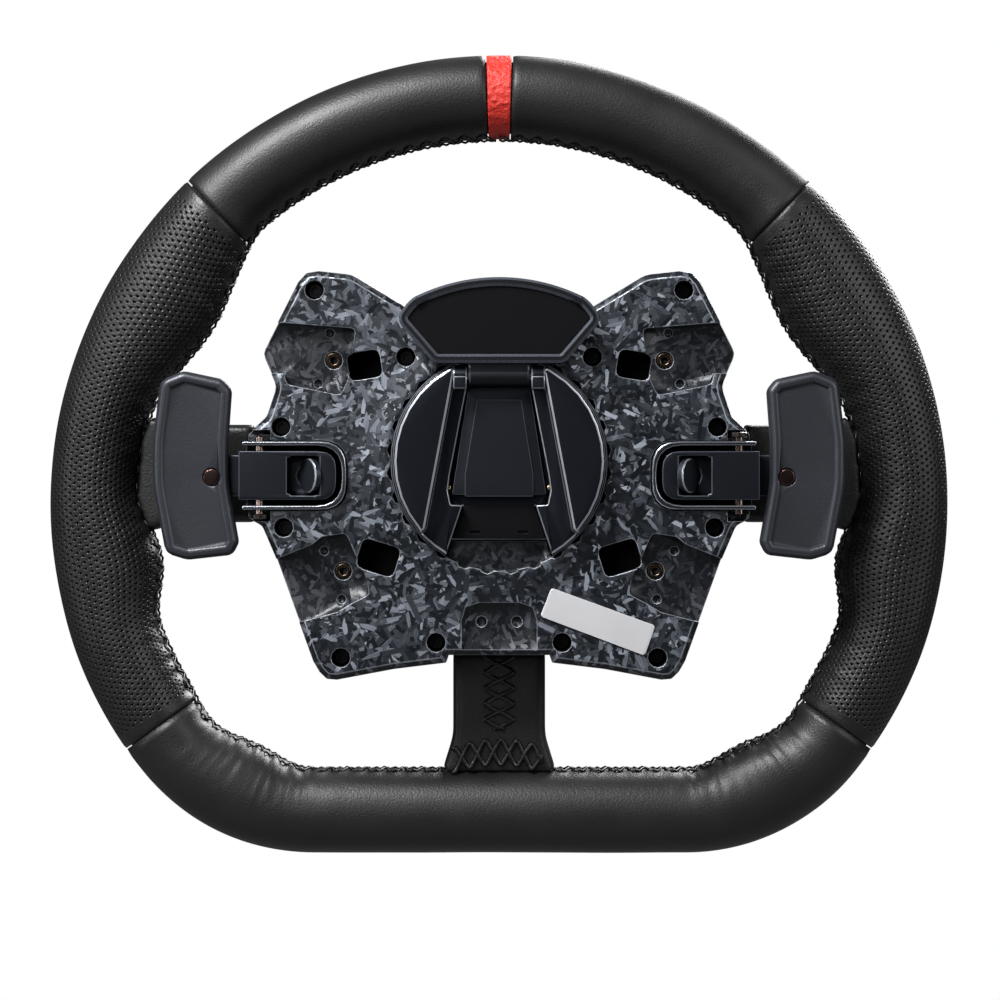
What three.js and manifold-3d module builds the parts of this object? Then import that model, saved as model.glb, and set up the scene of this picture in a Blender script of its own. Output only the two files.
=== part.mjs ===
// A D-shaped racing wheel for a simulator, in millimetres. +Z is up, the driver sits on +Y, and the back of
// the wheel, with its quick release, faces -Y. The origin is on the hub axis, at the rear face of the quick
// release's clamp plate.

import * as THREE from 'three';
import { mergeVertices } from 'three/addons/utils/BufferGeometryUtils.js';
import Module from 'manifold-3d';

const wasm = await Module();
wasm.setup();

// Clearances
const seat = 0.3;              // between pieces that touch
const slack = 0.35;            // around a piece that moves

// Rim: three tangent arcs a side, and a flat bottom
const rimRadius = 159;
const rimCentreZ = -14.4;
const rimPlaneY = 36;
const rimBottomZ = -138;
const sideArcRadius = 148;
const sideArcFrom = -10;       // degrees above the horizontal, where the side arc takes over from the crown
const cornerFrom = -39;        // and where the corner takes over
const rimThickness = 29.6;
const rimDepth = 30;
const gripExtra = 1.4;
const gripDepthExtra = 2.5;
const leather = 1.6;
const bandWidth = 9.5;
const gripTop = 46;            // degrees, where each perforated grip starts and ends
const gripEnd = -35;
const gripBlend = 4;
const rimSides = 12;
const rimSwells = [
  { at: 31.5, spread: 19, swell: 8.6 },     // thumb rest
  { at: -9, spread: 12, swell: 6.5 },       // heel of the hand, under the spoke
  { at: -64, spread: 26, swell: 3.6 },      // bottom corner
];

// Skeleton inside the rim
const coreWidth = 12;
const coreDepth = 8;
const plateThickness = 6;
const spokeZ = -3.6;
const spokeHeight = 30;
const spokeLeather = 2.3;
const lowSpokeWidth = 28;
const spokeFlare = 5;

// Housing
const shellBackY = 4;
const shellChamfer = 2;
const wall = 3;
const frontFaceY = 50;
const frontChamfer = 4;
const postRadius = 4.8;
const counterboreRadius = 3.25;
const counterboreDepth = 9;
const screwBore = 1.7;
const pocketDepth = 4.5;
const pocketFloor = 2.4;

// Quick release. Its outlines are drawn for a disc of one radius, and grow or shrink with the disc.
const hubRadius = 36.8;
const hubDrawn = 36.8;
const hubShare = hubRadius / hubDrawn;
const onHub = (corners) => corners.map(([x, z, radius]) => [x * hubShare, z * hubShare, radius]);
const hubFaceY = -1.5;
const padFaceY = -6;
const padBevel = 1;
const channelY = 4.8;
const hubFloor = 4;
const hubWall = 6;
const fluteCount = 28;
const fluteRadius = 2.9;
const fluteReach = 1.5;         // how far each scallop goes out past the disc
const plateMetal = 3;
const plateTravel = 1.2;
const barrelRadius = 3.3;
const barrelZ = 28.7 * hubShare;
const barrelY = -3;
const hingePinRadius = 1.5;
const leverBackY = -8.6;
const leverThickness = 5.8;
const bezel = 3;
const panelRecess = 1.4;

// Paddle modules
const paddleZ = -4.7;
const pivotX = 81.7;
const pivotY = 5;
const pivotRadius = 1.6;
const bracketHeight = 23.2;
const bracketWall = 1.4;
const bracketInner = 52;
const bracketBackY = 1;
const bracketDepth = 13.5;
const armHeight = 16.6;
const armMetal = 1.5;
const armWebY = 9.1;
const armInner = 55.5;
const armOuter = 88.6;
const armCover = 71;            // where the plate over the pin starts
const armCoverMetal = 1.1;
const bladeY = 4.6;
const bladeThickness = 4.2;
const magnetRadius = 6;
const magnetThickness = 2.4;
const magnetTilt = 56;

// Controls on the driver's side
const buttonRadius = 6.5;
const buttonTravel = 1.5;
const buttonStand = 2.6;
const knobRadius = 11;
const knobHeight = 13;
const knobShaft = 3;
const knobFlutes = 8;
const knobFluteRadius = 1.5;
const boardThickness = 1.6;
const boardY = 41;
const stripHalf = 27;
const stripZ = 38;
const stripHeight = 5.2;
const stripDepth = 1.6;
const stripStand = 0.6;
const labelThickness = 0.5;
const labelCorners = [[17.8, -42.9, 1], [53.2, -55.8, 1], [49.6, -66, 1], [14, -52.6, 1]];
const buttons = [[58, 53], [40, 42], [68, 36], [50, 26], [68, 15]];
const knobs = [['left', -58, -26], ['right', 58, -26], ['middle', 0, -46]];

const plateBackY = rimPlaneY - plateThickness / 2;
const plateFrontY = rimPlaneY + plateThickness / 2;
const shellFrontY = plateBackY - seat;
const pocketBase = shellBackY + pocketDepth + pocketFloor;
const bracketFront = bracketBackY + bracketDepth;
const deg = Math.PI / 180;

// The right half of the housing's outline, from the top middle to the bottom middle: x, z and corner radius.
const housingHalf = [
  [22, 47, 5], [50, 64, 9], [66.5, 65.8, 7], [81, 37.2, 4], [76, 25.8, 5], [79.4, 15.6, 4], [86, 9.4],
  [86, -19.2], [81, -21.8, 3], [76, -33.5, 3], [63.6, -68, 4], [59.4, -75.2, 6], [36, -70.8, 8],
  [18, -68.6], [17.8, -66],
];
const armRoot = -60;
const cableHole = 12;
const spokeInner = 86.6;
const spokeEdge = 2.4;
const spokeFlareLength = 16;
const lowSpokeTop = -66.4;

// Screws that hold the housing together, on the right side
const screws = [[63, 58.6], [31.8, 35.8], [74.4, 11.9], [73.5, -22.4], [54, -66.8], [21.5, -61.6]];

// Accessory pockets on the right side, open at the housing's edge
const pockets = [
  {
    name: 'upper',
    corners: [
      [90, 48.6], [49, 45.4, 1.5], [51.6, 28.2], [54, 22.7, 2], [72.4, 26.5, 2], [73.2, 30.2, 0.5], [90, 30.4],
    ],
    window: { x: 46, z: 33, width: 11.5, height: 9.5, turn: -9 },
    insert: [56.7, 34.8],
    holes: [[58, 44.2], [62, 26.9]],
  },
  {
    name: 'lower',
    corners: [
      [90, -37], [77, -33.6], [63.6, -28.2, 1], [60.4, -25.6, 1], [52.2, -24.4, 2], [45, -41],
      [44.4, -45.2, 1.5], [50.5, -48.3, 1], [55.2, -51.2, 1], [68.4, -54.6], [90, -60],
    ],
    window: { x: 41.3, z: -32.7, width: 13.5, height: 10.5, turn: 17 },
    insert: [53.5, -37.4],
    holes: [[60, -30.4], [54, -47]],
  },
];
const windowRound = 2.5;
const insertRadius = 2.7;
const insertSleeve = 2;
const insertBore = 1.4;
const insertDepth = 4;
const pocketHole = 1.5;
const tabHalf = 12.8;
const tabTop = -48.1;
const tabBottom = -64;
const tabDepth = 2.5;
const tabHole = 1.8;
const tabHoleX = 6;
const tabHoleZ = -54.6;
const through = 100;            // longer than any hole that it cuts

// Quick release details
const padRadius = hubRadius - 0.8;
const padFrom = -40;            // degrees, where each pad's round edge starts and ends
const padTo = 60;
const barrelHalf = 10.5 * hubShare;
const earWidth = 4.6;
const hubCollarWall = 5;
const hubCollarDepth = 6;
const collarRise = 1.6;
const collarWidth = 8.5;
const fluteDepth = 3.5;
const plungerRadius = 1.1;
const plungerY = 1.9;
const plungerZ = -8.8 * hubShare;
const plungerInner = 16.4 * hubShare;
const plungerLength = 3.3;
const leverTop = 61.85 * hubShare;
const leverBottom = 33 * hubShare;
const leverArc = 64 * hubShare;
const leverEdge = 0.8;
const panelThickness = 0.9;
const channelMouth = [[12.4, -14.8], [21.5, -42]];
const channelHalf = onHub([
  [11, 33.5], [11.1, 24.6], [16.7, -4.6], [17.4, -9.7, 1], [16.4, -14.6, 0.6], ...channelMouth,
]);
const channelFall = -26.6 * hubShare;
const plateWing = onHub([[10.4, 25.1, 0.4], [16, -11.2, 0.4]]);
const plateRidge = onHub([[7.5, 21, 0.4], [11.6, -4.5], [11.6, -11.8, 0.3]]);
const plateWingY = 0.8;
const contactHalf = onHub([[12, -15.2, 0.3], [15.6, -26.2, 0.3]]);
const contactThickness = 1.3;
const contactSlot = { inner: 6.5, outer: 9.9, top: -23.4, height: 1 };

// Paddle details
const bracketOuter = 87.3;
const armBackY = 2;
const tongueEnd = 103.5;
const tongueHalf = 7;
const magnetX = 63.3;
const magnetY = 5.5;
const fixedMagnet = 4.2;
const fixedMagnetX = 59.6;
const pinHalf = bracketHeight / 2 + 1.6;
const pinHead = 3;
const pinHeadHeight = 1.6;
const pinRoom = 0.7;
const bladeBorder = 4;
const bladeRecess = 1.2;
const bladeEdge = 1.4;
const bladeScrew = [98.3, -5.2];
const bladeCorners = [
  [91.4, 24.6, 3], [94.4, 28.3, 3], [108, 31.2, 5], [115.9, 27.8, 4], [118.4, 7, 40], [118.4, -8, 40],
  [114, -31.2, 4], [106.6, -33.5, 6], [91.2, -31.8, 3], [89, -27.5, 3], [92.4, -8, 30], [92.6, 7.5, 20],
];
const screwShank = 1.5;
const screwHead = 2.8;
const screwHeadHeight = 1.4;

const finish = (color, roughness, metalness) => new THREE.MeshStandardMaterial({ color, roughness, metalness });
const looks = {
  leather: finish(0x17181a, 0.62, 0),
  redLeather: finish(0xb3261c, 0.6, 0),
  foam: finish(0x2c2c2e, 0.95, 0),
  composite: finish(0x3a3e45, 0.32, 0.1),
  blackMetal: finish(0x14161a, 0.38, 0.8),
  blueMetal: finish(0x39414b, 0.42, 0.75),
  aluminium: finish(0xa9adb1, 0.35, 1),
  steel: finish(0x8b8e92, 0.3, 1),
  brass: finish(0xb4824a, 0.3, 1),
  black: finish(0x0b0c0e, 0.5, 0),
  board: finish(0x123a24, 0.55, 0.1),
  label: finish(0xc9cacc, 0.4, 0.3),
  button: finish(0x1c1d20, 0.45, 0),
  light: finish(0x35393f, 0.15, 0),
};

const wheel = new THREE.Group();

// ---- Solids ----

function volumeOf(position, index) {
  const a = new THREE.Vector3();
  const b = new THREE.Vector3();
  const c = new THREE.Vector3();
  let sum = 0;
  for (let i = 0; i < index.count; i += 3) {
    a.fromBufferAttribute(position, index.getX(i));
    b.fromBufferAttribute(position, index.getX(i + 1));
    c.fromBufferAttribute(position, index.getX(i + 2));
    sum += a.dot(b.cross(c));
  }
  return sum;
}

// A closed geometry as a solid, turned the right way out.
function solid(geometry) {
  const plain = geometry.clone();
  plain.deleteAttribute('normal');
  plain.deleteAttribute('uv');
  const merged = mergeVertices(plain, 1e-4);
  const index = Uint32Array.from(merged.index.array);
  if (volumeOf(merged.attributes.position, merged.index) < 0) {
    for (let i = 0; i < index.length; i += 3) [index[i], index[i + 1]] = [index[i + 1], index[i]];
  }
  const vertProperties = Float32Array.from(merged.attributes.position.array);
  return new wasm.Manifold(new wasm.Mesh({ numProp: 3, vertProperties, triVerts: index }));
}

function geometryOf(body) {
  const mesh = body.getMesh();
  const geometry = new THREE.BufferGeometry();
  geometry.setAttribute('position', new THREE.BufferAttribute(Float32Array.from(mesh.vertProperties), 3));
  geometry.setIndex(new THREE.BufferAttribute(Uint32Array.from(mesh.triVerts), 1));
  return geometry;
}

function add(name, body, material) {
  const geometry = geometryOf(body);
  geometry.computeVertexNormals();
  const mesh = new THREE.Mesh(geometry, material.clone());
  mesh.name = name;
  wheel.add(mesh);
}

function box(x0, x1, y0, y1, z0, z1) {
  const geometry = new THREE.BoxGeometry(Math.abs(x1 - x0), Math.abs(y1 - y0), Math.abs(z1 - z0));
  geometry.translate((x0 + x1) / 2, (y0 + y1) / 2, (z0 + z1) / 2);
  return solid(geometry);
}

// A round bar between two points.
function bar(radius, from, to, sides = 16) {
  const start = new THREE.Vector3(...from);
  const end = new THREE.Vector3(...to);
  const geometry = new THREE.CylinderGeometry(radius, radius, start.distanceTo(end), sides);
  const along = end.clone().sub(start).normalize();
  geometry.applyQuaternion(new THREE.Quaternion().setFromUnitVectors(new THREE.Vector3(0, 1, 0), along));
  geometry.translate(...start.add(end).multiplyScalar(0.5));
  return solid(geometry);
}

// A round bar along Y at (x, z).
const post = (radius, x, z, y0, y1, sides = 16) => bar(radius, [x, y0, z], [x, y1, z], sides);

// Corners [x, z, radius] moved outwards by a distance, along both of their edges.
function grown(corners, grow) {
  const points = corners.map(([x, z]) => new THREE.Vector2(x, z));
  const sign = THREE.ShapeUtils.isClockWise(points) ? -1 : 1;
  return points.map((point, i) => {
    const back = point.clone().sub(points.at(i - 1)).normalize();
    const ahead = points[(i + 1) % points.length].clone().sub(point).normalize();
    const turn = sign * back.cross(ahead);
    const share = (sign * grow) / (1 + back.dot(ahead));
    const radius = corners[i][2] ?? 0;
    const kept = radius > 0 ? Math.max(0.2, radius + (turn > 0 ? grow : -grow)) : 0;
    return [point.x + (back.y + ahead.y) * share, point.y - (back.x + ahead.x) * share, kept];
  });
}

// Corners [x, z, radius] as an outline, each one rounded, and the whole grown or shrunk by a distance.
function outline(corners, steps = 4, grow = 0) {
  const points = [];
  const moved = grow ? grown(corners, grow) : corners;
  moved.forEach(([x, z, radius = 0], i) => {
    const corner = new THREE.Vector2(x, z);
    if (radius === 0) {
      points.push(corner);
      return;
    }
    const before = new THREE.Vector2(...moved.at(i - 1).slice(0, 2)).sub(corner);
    const after = new THREE.Vector2(...moved[(i + 1) % moved.length].slice(0, 2)).sub(corner);
    const half = Math.abs(before.angleTo(after)) / 2;
    const reach = Math.min(radius / Math.tan(half), before.length() * 0.48, after.length() * 0.48);
    const start = corner.clone().add(before.setLength(reach));
    const end = corner.clone().add(after.setLength(reach));
    points.push(...new THREE.QuadraticBezierCurve(start, corner, end).getPoints(steps));
  });
  return points;
}

// Half an outline from the top middle to the bottom middle, completed by its mirror image.
function mirrored(half, grow = 0, steps = 2) {
  const other = half.filter(([x]) => x > 0).map(([x, z, radius]) => [-x, z, radius]).reverse();
  return outline([...half, ...other], steps, grow);
}

const onSide = (corners, side) => corners.map(([x, z, radius]) => [side * x, z, radius]);

// One end of a stack: its triangles all turn one way.
function cap(points, offset, turn) {
  return THREE.ShapeUtils.triangulateShape(points, []).flatMap(([a, b, c]) => {
    const area = THREE.ShapeUtils.area([points[a], points[b], points[c]]);
    return Math.sign(area) === turn ? [offset + a, offset + b, offset + c] : [offset + a, offset + c, offset + b];
  });
}

// Outlines with the same number of points, stacked along Y and closed at both ends.
function stack(layers) {
  const reversed = THREE.ShapeUtils.isClockWise(layers[0].points);
  const rings = layers.map(({ points }) => (reversed ? [...points].reverse() : points));
  const count = rings[0].length;
  const positions = rings.flatMap((ring, k) => ring.flatMap((point) => [point.x, layers[k].y, point.y]));
  const triangles = [];
  for (let layer = 0; layer + 1 < rings.length; layer++) {
    for (let i = 0; i < count; i++) {
      const a = layer * count + i;
      const b = layer * count + ((i + 1) % count);
      triangles.push(a, b, a + count, b, b + count, a + count);
    }
  }
  triangles.push(...cap(rings[0], 0, -1), ...cap(rings.at(-1), (rings.length - 1) * count, 1));
  const geometry = new THREE.BufferGeometry();
  geometry.setAttribute('position', new THREE.Float32BufferAttribute(positions, 3));
  geometry.setIndex(triangles);
  return solid(geometry);
}

const slab = (points, y0, y1) => stack([{ points, y: y0 }, { points, y: y1 }]);

// Rings of equal size joined into a tube: a closed loop, or a length with flat ends.
function loft(rings, closed = false) {
  const count = rings[0].length;
  const positions = rings.flatMap((ring) => ring.flatMap((point) => point.toArray()));
  const triangles = [];
  const spans = closed ? rings.length : rings.length - 1;
  for (let span = 0; span < spans; span++) {
    const next = ((span + 1) % rings.length) * count;
    for (let i = 0; i < count; i++) {
      const j = (i + 1) % count;
      triangles.push(span * count + i, span * count + j, next + i, span * count + j, next + j, next + i);
    }
  }
  const last = (rings.length - 1) * count;
  for (let i = 1; !closed && i + 1 < count; i++) {
    triangles.push(0, i + 1, i, last, last + i, last + i + 1);
  }
  const geometry = new THREE.BufferGeometry();
  geometry.setAttribute('position', new THREE.Float32BufferAttribute(positions, 3));
  geometry.setIndex(triangles);
  return solid(geometry);
}

const housing = (grow = 0) => mirrored(housingHalf, grow);

// The channel's open lower end, where the housing shows through the hub, narrowed by a gap.
const channelEnd = (gap) => {
  const [[x0, z0], [x1, z1]] = onHub(channelMouth);
  const slope = (x1 - x0) / (z0 - z1);
  const top = channelFall - gap;
  const half = x0 + slope * (z0 - top) - gap;
  const below = hubRadius / 2.6;
  return [[half, top], [half + slope * below, top - below]];
};

const tabOutline = (grow) => mirrored([[tabHalf, tabTop, 6], [tabHalf, tabBottom]], grow);

// ---- Rim ----

// The outline's three arcs on the right side, each tangent to the one before.
function rimArcs() {
  const turn = (degrees) => new THREE.Vector2(Math.cos(degrees * deg), Math.sin(degrees * deg));
  const crown = new THREE.Vector2(0, rimCentreZ);
  const side = crown.clone().add(turn(sideArcFrom).multiplyScalar(rimRadius - sideArcRadius));
  const drop = -Math.sin(cornerFrom * deg);
  const cornerRadius = (side.y - rimBottomZ - drop * sideArcRadius) / (1 - drop);
  const corner = side.clone().add(turn(cornerFrom).multiplyScalar(sideArcRadius - cornerRadius));
  return [
    { from: 90, to: sideArcFrom, centre: crown, radius: rimRadius },
    { from: sideArcFrom, to: cornerFrom, centre: side, radius: sideArcRadius },
    { from: cornerFrom, to: -90, centre: corner, radius: cornerRadius },
  ];
}

const arcs = rimArcs();

// A place on the rim: a point of the outline, the way out, and the tube's size there. The angle is the way out's.
function rimPlace(angle, side = 1) {
  const arc = arcs.find(({ to }) => angle >= to) ?? arcs[2];
  const out = new THREE.Vector2(Math.cos(angle * deg), Math.sin(angle * deg));
  const edge = arc.centre.clone().add(out.clone().multiplyScalar(arc.radius));
  const below = THREE.MathUtils.smoothstep(gripTop + gripBlend - angle, 0, 2 * gripBlend);
  const above = THREE.MathUtils.smoothstep(angle - gripEnd + gripBlend, 0, 2 * gripBlend);
  const inGrip = below * above;
  let thickness = rimThickness + gripExtra * inGrip;
  for (const { at, spread, swell } of rimSwells) {
    const away = Math.min(1, Math.abs(angle - at) / spread);
    thickness += swell * Math.cos((away * Math.PI) / 2) ** 2;
  }
  edge.x *= side;
  out.x *= side;
  return { edge, out, thickness, depth: rimDepth + gripDepthExtra * inGrip };
}

const rimAngles = (from, to, step = 9) => {
  const count = Math.max(1, Math.round(Math.abs(to - from) / step));
  return Array.from({ length: count + 1 }, (unused, i) => from + ((to - from) * i) / count);
};

// The tube's section at a place, as an oval held off the surface.
function rimRing({ edge, out, thickness, depth }, below) {
  const middle = edge.clone().sub(out.clone().multiplyScalar(thickness / 2));
  return Array.from({ length: rimSides }, (unused, i) => {
    const turn = (2 * Math.PI * (i + 0.5)) / rimSides;
    const reach = Math.cos(turn) * (thickness / 2 - below);
    const y = rimPlaneY + Math.sin(turn) * (depth / 2 - below);
    return new THREE.Vector3(middle.x + out.x * reach, y, middle.y + out.y * reach);
  });
}

// The joints between the lengths of leather, from the middle of the band down to the middle of the bottom.
const bandAngle = (bandWidth / 2 / rimRadius) / deg;
const joints = [90, 90 - bandAngle, gripTop, gripEnd, -90];

// Both sides' places, from the band round the bottom and back, as one loop that steps at every joint.
function rimLoop() {
  const angles = joints.slice(1).flatMap((to, i) => rimAngles(joints[i], to).slice(1));
  const right = [90, ...angles].map((angle) => rimPlace(angle));
  const left = angles.slice(0, -1).reverse().map((angle) => rimPlace(angle, -1));
  return [...right, rimPlace(-90, -1), ...left];
}

// A length of leather round the rim, between the surface and the foam, hollow from end to end.
function sleeve(places) {
  const overrun = (place, from, by) => {
    const ahead = place.edge.clone().sub(from.edge).setLength(by);
    return { ...place, edge: place.edge.clone().add(ahead) };
  };
  const first = overrun(places[0], places[1], 1);
  const last = overrun(places.at(-1), places.at(-2), 1);
  const longer = [first, ...places.slice(1, -1), last];
  const outside = loft(places.map((place) => rimRing(place, 0)));
  return outside.subtract(loft(longer.map((place) => rimRing(place, leather))));
}

const jointAngle = (seat / 2 / (rimRadius - rimThickness)) / deg;

const rimBody = (below) => loft(rimLoop().map((place) => rimRing(place, below)), true);

// The core's square section, grown by a gap.
function coreRing({ edge, out, thickness }, gap) {
  const middle = edge.clone().sub(out.clone().multiplyScalar(thickness / 2));
  const across = coreWidth / 2 + gap;
  const deep = coreDepth / 2 + gap;
  return [[across, deep], [-across, deep], [-across, -deep], [across, -deep]].map(
    ([reach, y]) => new THREE.Vector3(middle.x + out.x * reach, rimPlaneY + y, middle.y + out.y * reach),
  );
}

const coreLoop = (gap) => loft(rimLoop().map((place) => coreRing(place, gap)), true);

// The two side arms and the bottom arm, from inside the housing to the core, grown by a gap.
function arms(gap) {
  const half = spokeHeight / 2 + gap;
  const across = rimRadius - rimThickness / 2 - 1;
  const low = rimBottomZ + rimThickness / 2 + 1;
  const y0 = plateBackY - gap;
  const y1 = plateFrontY + gap;
  const sides = box(-across, across, y0, y1, spokeZ - half, spokeZ + half);
  return sides.add(box(-lowSpokeWidth / 2 - gap, lowSpokeWidth / 2 + gap, y0, y1, low, armRoot));
}

const rimSkeleton = () => coreLoop(0)
  .add(slab(housing(-wall - 2 * seat), plateBackY, plateFrontY))
  .add(arms(0))
  .subtract(post(cableHole, 0, 0, plateBackY - 1, plateFrontY + 1, 20));

const rimFoam = () => rimBody(leather + seat).subtract(coreLoop(seat)).subtract(arms(seat));

// One length of leather between two angles, on the right side or mirrored to the left.
function gripLeather(from, to, side) {
  const between = rimAngles(from, to).slice(1, -1);
  const angles = [from - jointAngle, ...between, to + jointAngle];
  if (side < 0) angles.reverse();
  return sleeve(angles.map((angle) => rimPlace(angle, side))).subtract(arms(seat));
}

function bottomLeather() {
  const angles = [gripEnd - jointAngle, ...rimAngles(gripEnd, -90).slice(1)];
  const right = angles.map((angle) => rimPlace(angle));
  const left = angles.map((angle) => rimPlace(angle, -1)).reverse();
  return sleeve([...right, ...left]).subtract(arms(seat));
}

function bandLeather() {
  const angle = 90 - bandAngle + jointAngle;
  return sleeve([rimPlace(angle, -1), rimPlace(90), rimPlace(angle)]);
}

// The leather on a spoke. Its outline runs from the housing into the rim and widens there.
function spokeLeatherAt(corners) {
  const full = outline(corners, 3);
  const slim = outline(corners, 3, -spokeEdge * 0.6);
  const back = plateBackY - spokeLeather;
  const front = plateFrontY + spokeLeather;
  const layers = [[slim, back], [full, back + spokeEdge], [full, front - spokeEdge], [slim, front]];
  return stack(layers.map(([points, y]) => ({ points, y }))).subtract(arms(seat)).subtract(rimBody(-seat));
}

function spokeCorners(inner, outer, half) {
  const flareStart = outer - spokeFlareLength;
  return [[inner, half], [flareStart, half, 18], [outer, half + spokeFlare], [outer, -half - spokeFlare],
    [flareStart, -half, 18], [inner, -half]];
}

function sideSpoke(side) {
  const corners = spokeCorners(spokeInner, rimRadius - rimThickness, spokeHeight / 2 + spokeLeather);
  return spokeLeatherAt(corners.map(([x, z, radius]) => [side * x, spokeZ + z, radius]));
}

function lowSpoke() {
  const corners = spokeCorners(-lowSpokeTop, -rimBottomZ - rimThickness + 4, lowSpokeWidth / 2 + spokeLeather);
  return spokeLeatherAt(corners.map(([down, x, radius]) => [x, -down, radius]));
}

add('rim_skeleton', rimSkeleton(), looks.aluminium);
add('rim_foam', rimFoam(), looks.foam);
for (const [label, side] of [['left', -1], ['right', 1]]) {
  add(`leather_top_${label}`, gripLeather(90 - bandAngle, gripTop, side), looks.leather);
  add(`leather_grip_${label}`, gripLeather(gripTop, gripEnd, side), looks.leather);
  add(`spoke_leather_${label}`, sideSpoke(side), looks.leather);
}
add('centre_band', bandLeather(), looks.redLeather);
add('leather_bottom', bottomLeather(), looks.leather);
add('spoke_leather_bottom', lowSpoke(), looks.leather);

// ---- Housing ----

const bothSides = (list) => list.flatMap(([x, z]) => [[-x, z], [x, z]]);

const pocketOutline = (corners, side, grow = 0) => outline(onSide(corners, side), 2, grow);

// A pocket's window: a rounded square hole, turned with the pocket.
function windowAt({ x, z, width, height, turn }, side, y0, y1) {
  const middle = new THREE.Vector2(x, z);
  const signs = [[-1, -1], [1, -1], [1, 1], [-1, 1]];
  const corners = signs.map(([a, b]) => {
    const corner = new THREE.Vector2(x + (a * width) / 2, z + (b * height) / 2).rotateAround(middle, turn * deg);
    return [side * corner.x, corner.y, windowRound];
  });
  return slab(outline(corners, 3), y0, y1);
}

// The tray: a floor at the back, with a chamfered edge, and one wall round it.
function shellTray() {
  const outside = stack([
    { points: housing(-shellChamfer), y: shellBackY },
    { points: housing(), y: shellBackY + shellChamfer },
    { points: housing(), y: shellFrontY },
  ]);
  return outside.subtract(slab(housing(-wall), shellBackY + wall, shellFrontY + 1));
}

// The walls round each recess, the seat of the quick release and the screw posts, all inside the tray.
function shellRibs() {
  let ribs = post(hubRadius + hubCollarWall, 0, 0, shellBackY, shellBackY + hubCollarDepth, 48);
  ribs = ribs.add(slab(mirrored(channelEnd(seat)), channelY, channelY + wall));
  for (const side of [-1, 1]) {
    for (const { corners, insert: [x, z] } of pockets) {
      ribs = ribs.add(slab(pocketOutline(corners, side, pocketFloor), shellBackY, pocketBase));
      ribs = ribs.add(post(insertRadius + insertSleeve, side * x, z, shellBackY + 1, pocketBase + 3, 8));
    }
    ribs = ribs.add(slab(bracketOutline(side, seat + pocketFloor), shellBackY, bracketFront + seat + pocketFloor));
  }
  for (const [x, z] of bothSides(screws)) ribs = ribs.add(post(postRadius, x, z, shellBackY + 1, shellFrontY, 8));
  ribs = ribs.add(slab(tabOutline(pocketFloor), shellBackY + 1, shellBackY + tabDepth + pocketFloor));
  return ribs.intersect(slab(housing(-wall / 2), shellBackY + shellChamfer, shellFrontY));
}

// The raised cone round the quick release.
function shellCollar() {
  const inner = hubRadius + seat;
  const outer = hubRadius + collarWidth;
  const top = shellBackY - collarRise;
  const corners = [[inner, shellBackY + 0.5], [inner, top], [hubRadius + 3, top], [outer, shellBackY + 0.01]];
  const profile = [...corners, [outer, shellBackY + 0.5], corners[0]];
  return solid(new THREE.LatheGeometry(profile.map(([radius, y]) => new THREE.Vector2(radius, y)), 48));
}

// The bore of the quick release, with scallops round it, and the step that fills the end of its channel.
function hubCuts() {
  const step = slab(mirrored(channelEnd(seat)), channelY, through);
  let cuts = post(hubRadius + seat, 0, 0, -through, through, 48).subtract(step);
  for (let i = 0; i < fluteCount; i++) {
    const turn = ((i + 0.5) * 2 * Math.PI) / fluteCount;
    const reach = hubRadius + fluteReach - fluteRadius;
    const [x, z] = [Math.cos(turn) * reach, Math.sin(turn) * reach];
    cuts = cuts.add(post(fluteRadius, x, z, -through, shellBackY + fluteDepth, 8));
  }
  return cuts;
}

// One accessory pocket: its floor, its window, the bore for its insert and its small holes.
function pocketCuts({ corners, window, insert: [insertX, insertZ], holes }, side) {
  let cuts = slab(pocketOutline(corners, side), -through, shellBackY + pocketDepth);
  cuts = cuts.add(windowAt(window, side, -through, shellFrontY - 1));
  const insertEnd = shellBackY + pocketDepth + insertDepth + seat;
  cuts = cuts.add(post(insertRadius + seat, side * insertX, insertZ, -through, insertEnd, 12));
  for (const [x, z] of holes) cuts = cuts.add(post(pocketHole, side * x, z, -through, pocketBase - 1, 8));
  return cuts;
}

// The open recess for a paddle's bracket, and the room for the ends of its pin.
function bracketCuts(side) {
  const half = pinHalf + pinHeadHeight + pinRoom;
  const reach = pinHead + pinRoom;
  const [bottom, top] = [paddleZ - half, paddleZ + half];
  const pinSlot = box(side * (pivotX - reach), side * through, -through, pivotY + reach, bottom, top);
  return slab(bracketOutline(side, seat), -through, bracketFront + seat).add(pinSlot);
}

function shellCuts() {
  let cuts = hubCuts();
  for (const side of [-1, 1]) {
    for (const pocket of pockets) cuts = cuts.add(pocketCuts(pocket, side));
    cuts = cuts.add(bracketCuts(side));
  }
  for (const [x, z] of bothSides(screws)) {
    cuts = cuts.add(post(counterboreRadius, x, z, -through, shellBackY + counterboreDepth, 12));
    cuts = cuts.add(post(screwBore, x, z, 0, through, 6));
  }
  cuts = cuts.add(slab(tabOutline(0), -through, shellBackY + tabDepth));
  for (const x of [-tabHoleX, tabHoleX]) {
    cuts = cuts.add(post(tabHole, x, tabHoleZ, -through, shellBackY + tabDepth + pocketFloor - 0.8, 10));
  }
  return cuts;
}

const backShell = () => shellTray().add(shellRibs()).add(shellCollar()).subtract(shellCuts());

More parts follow.
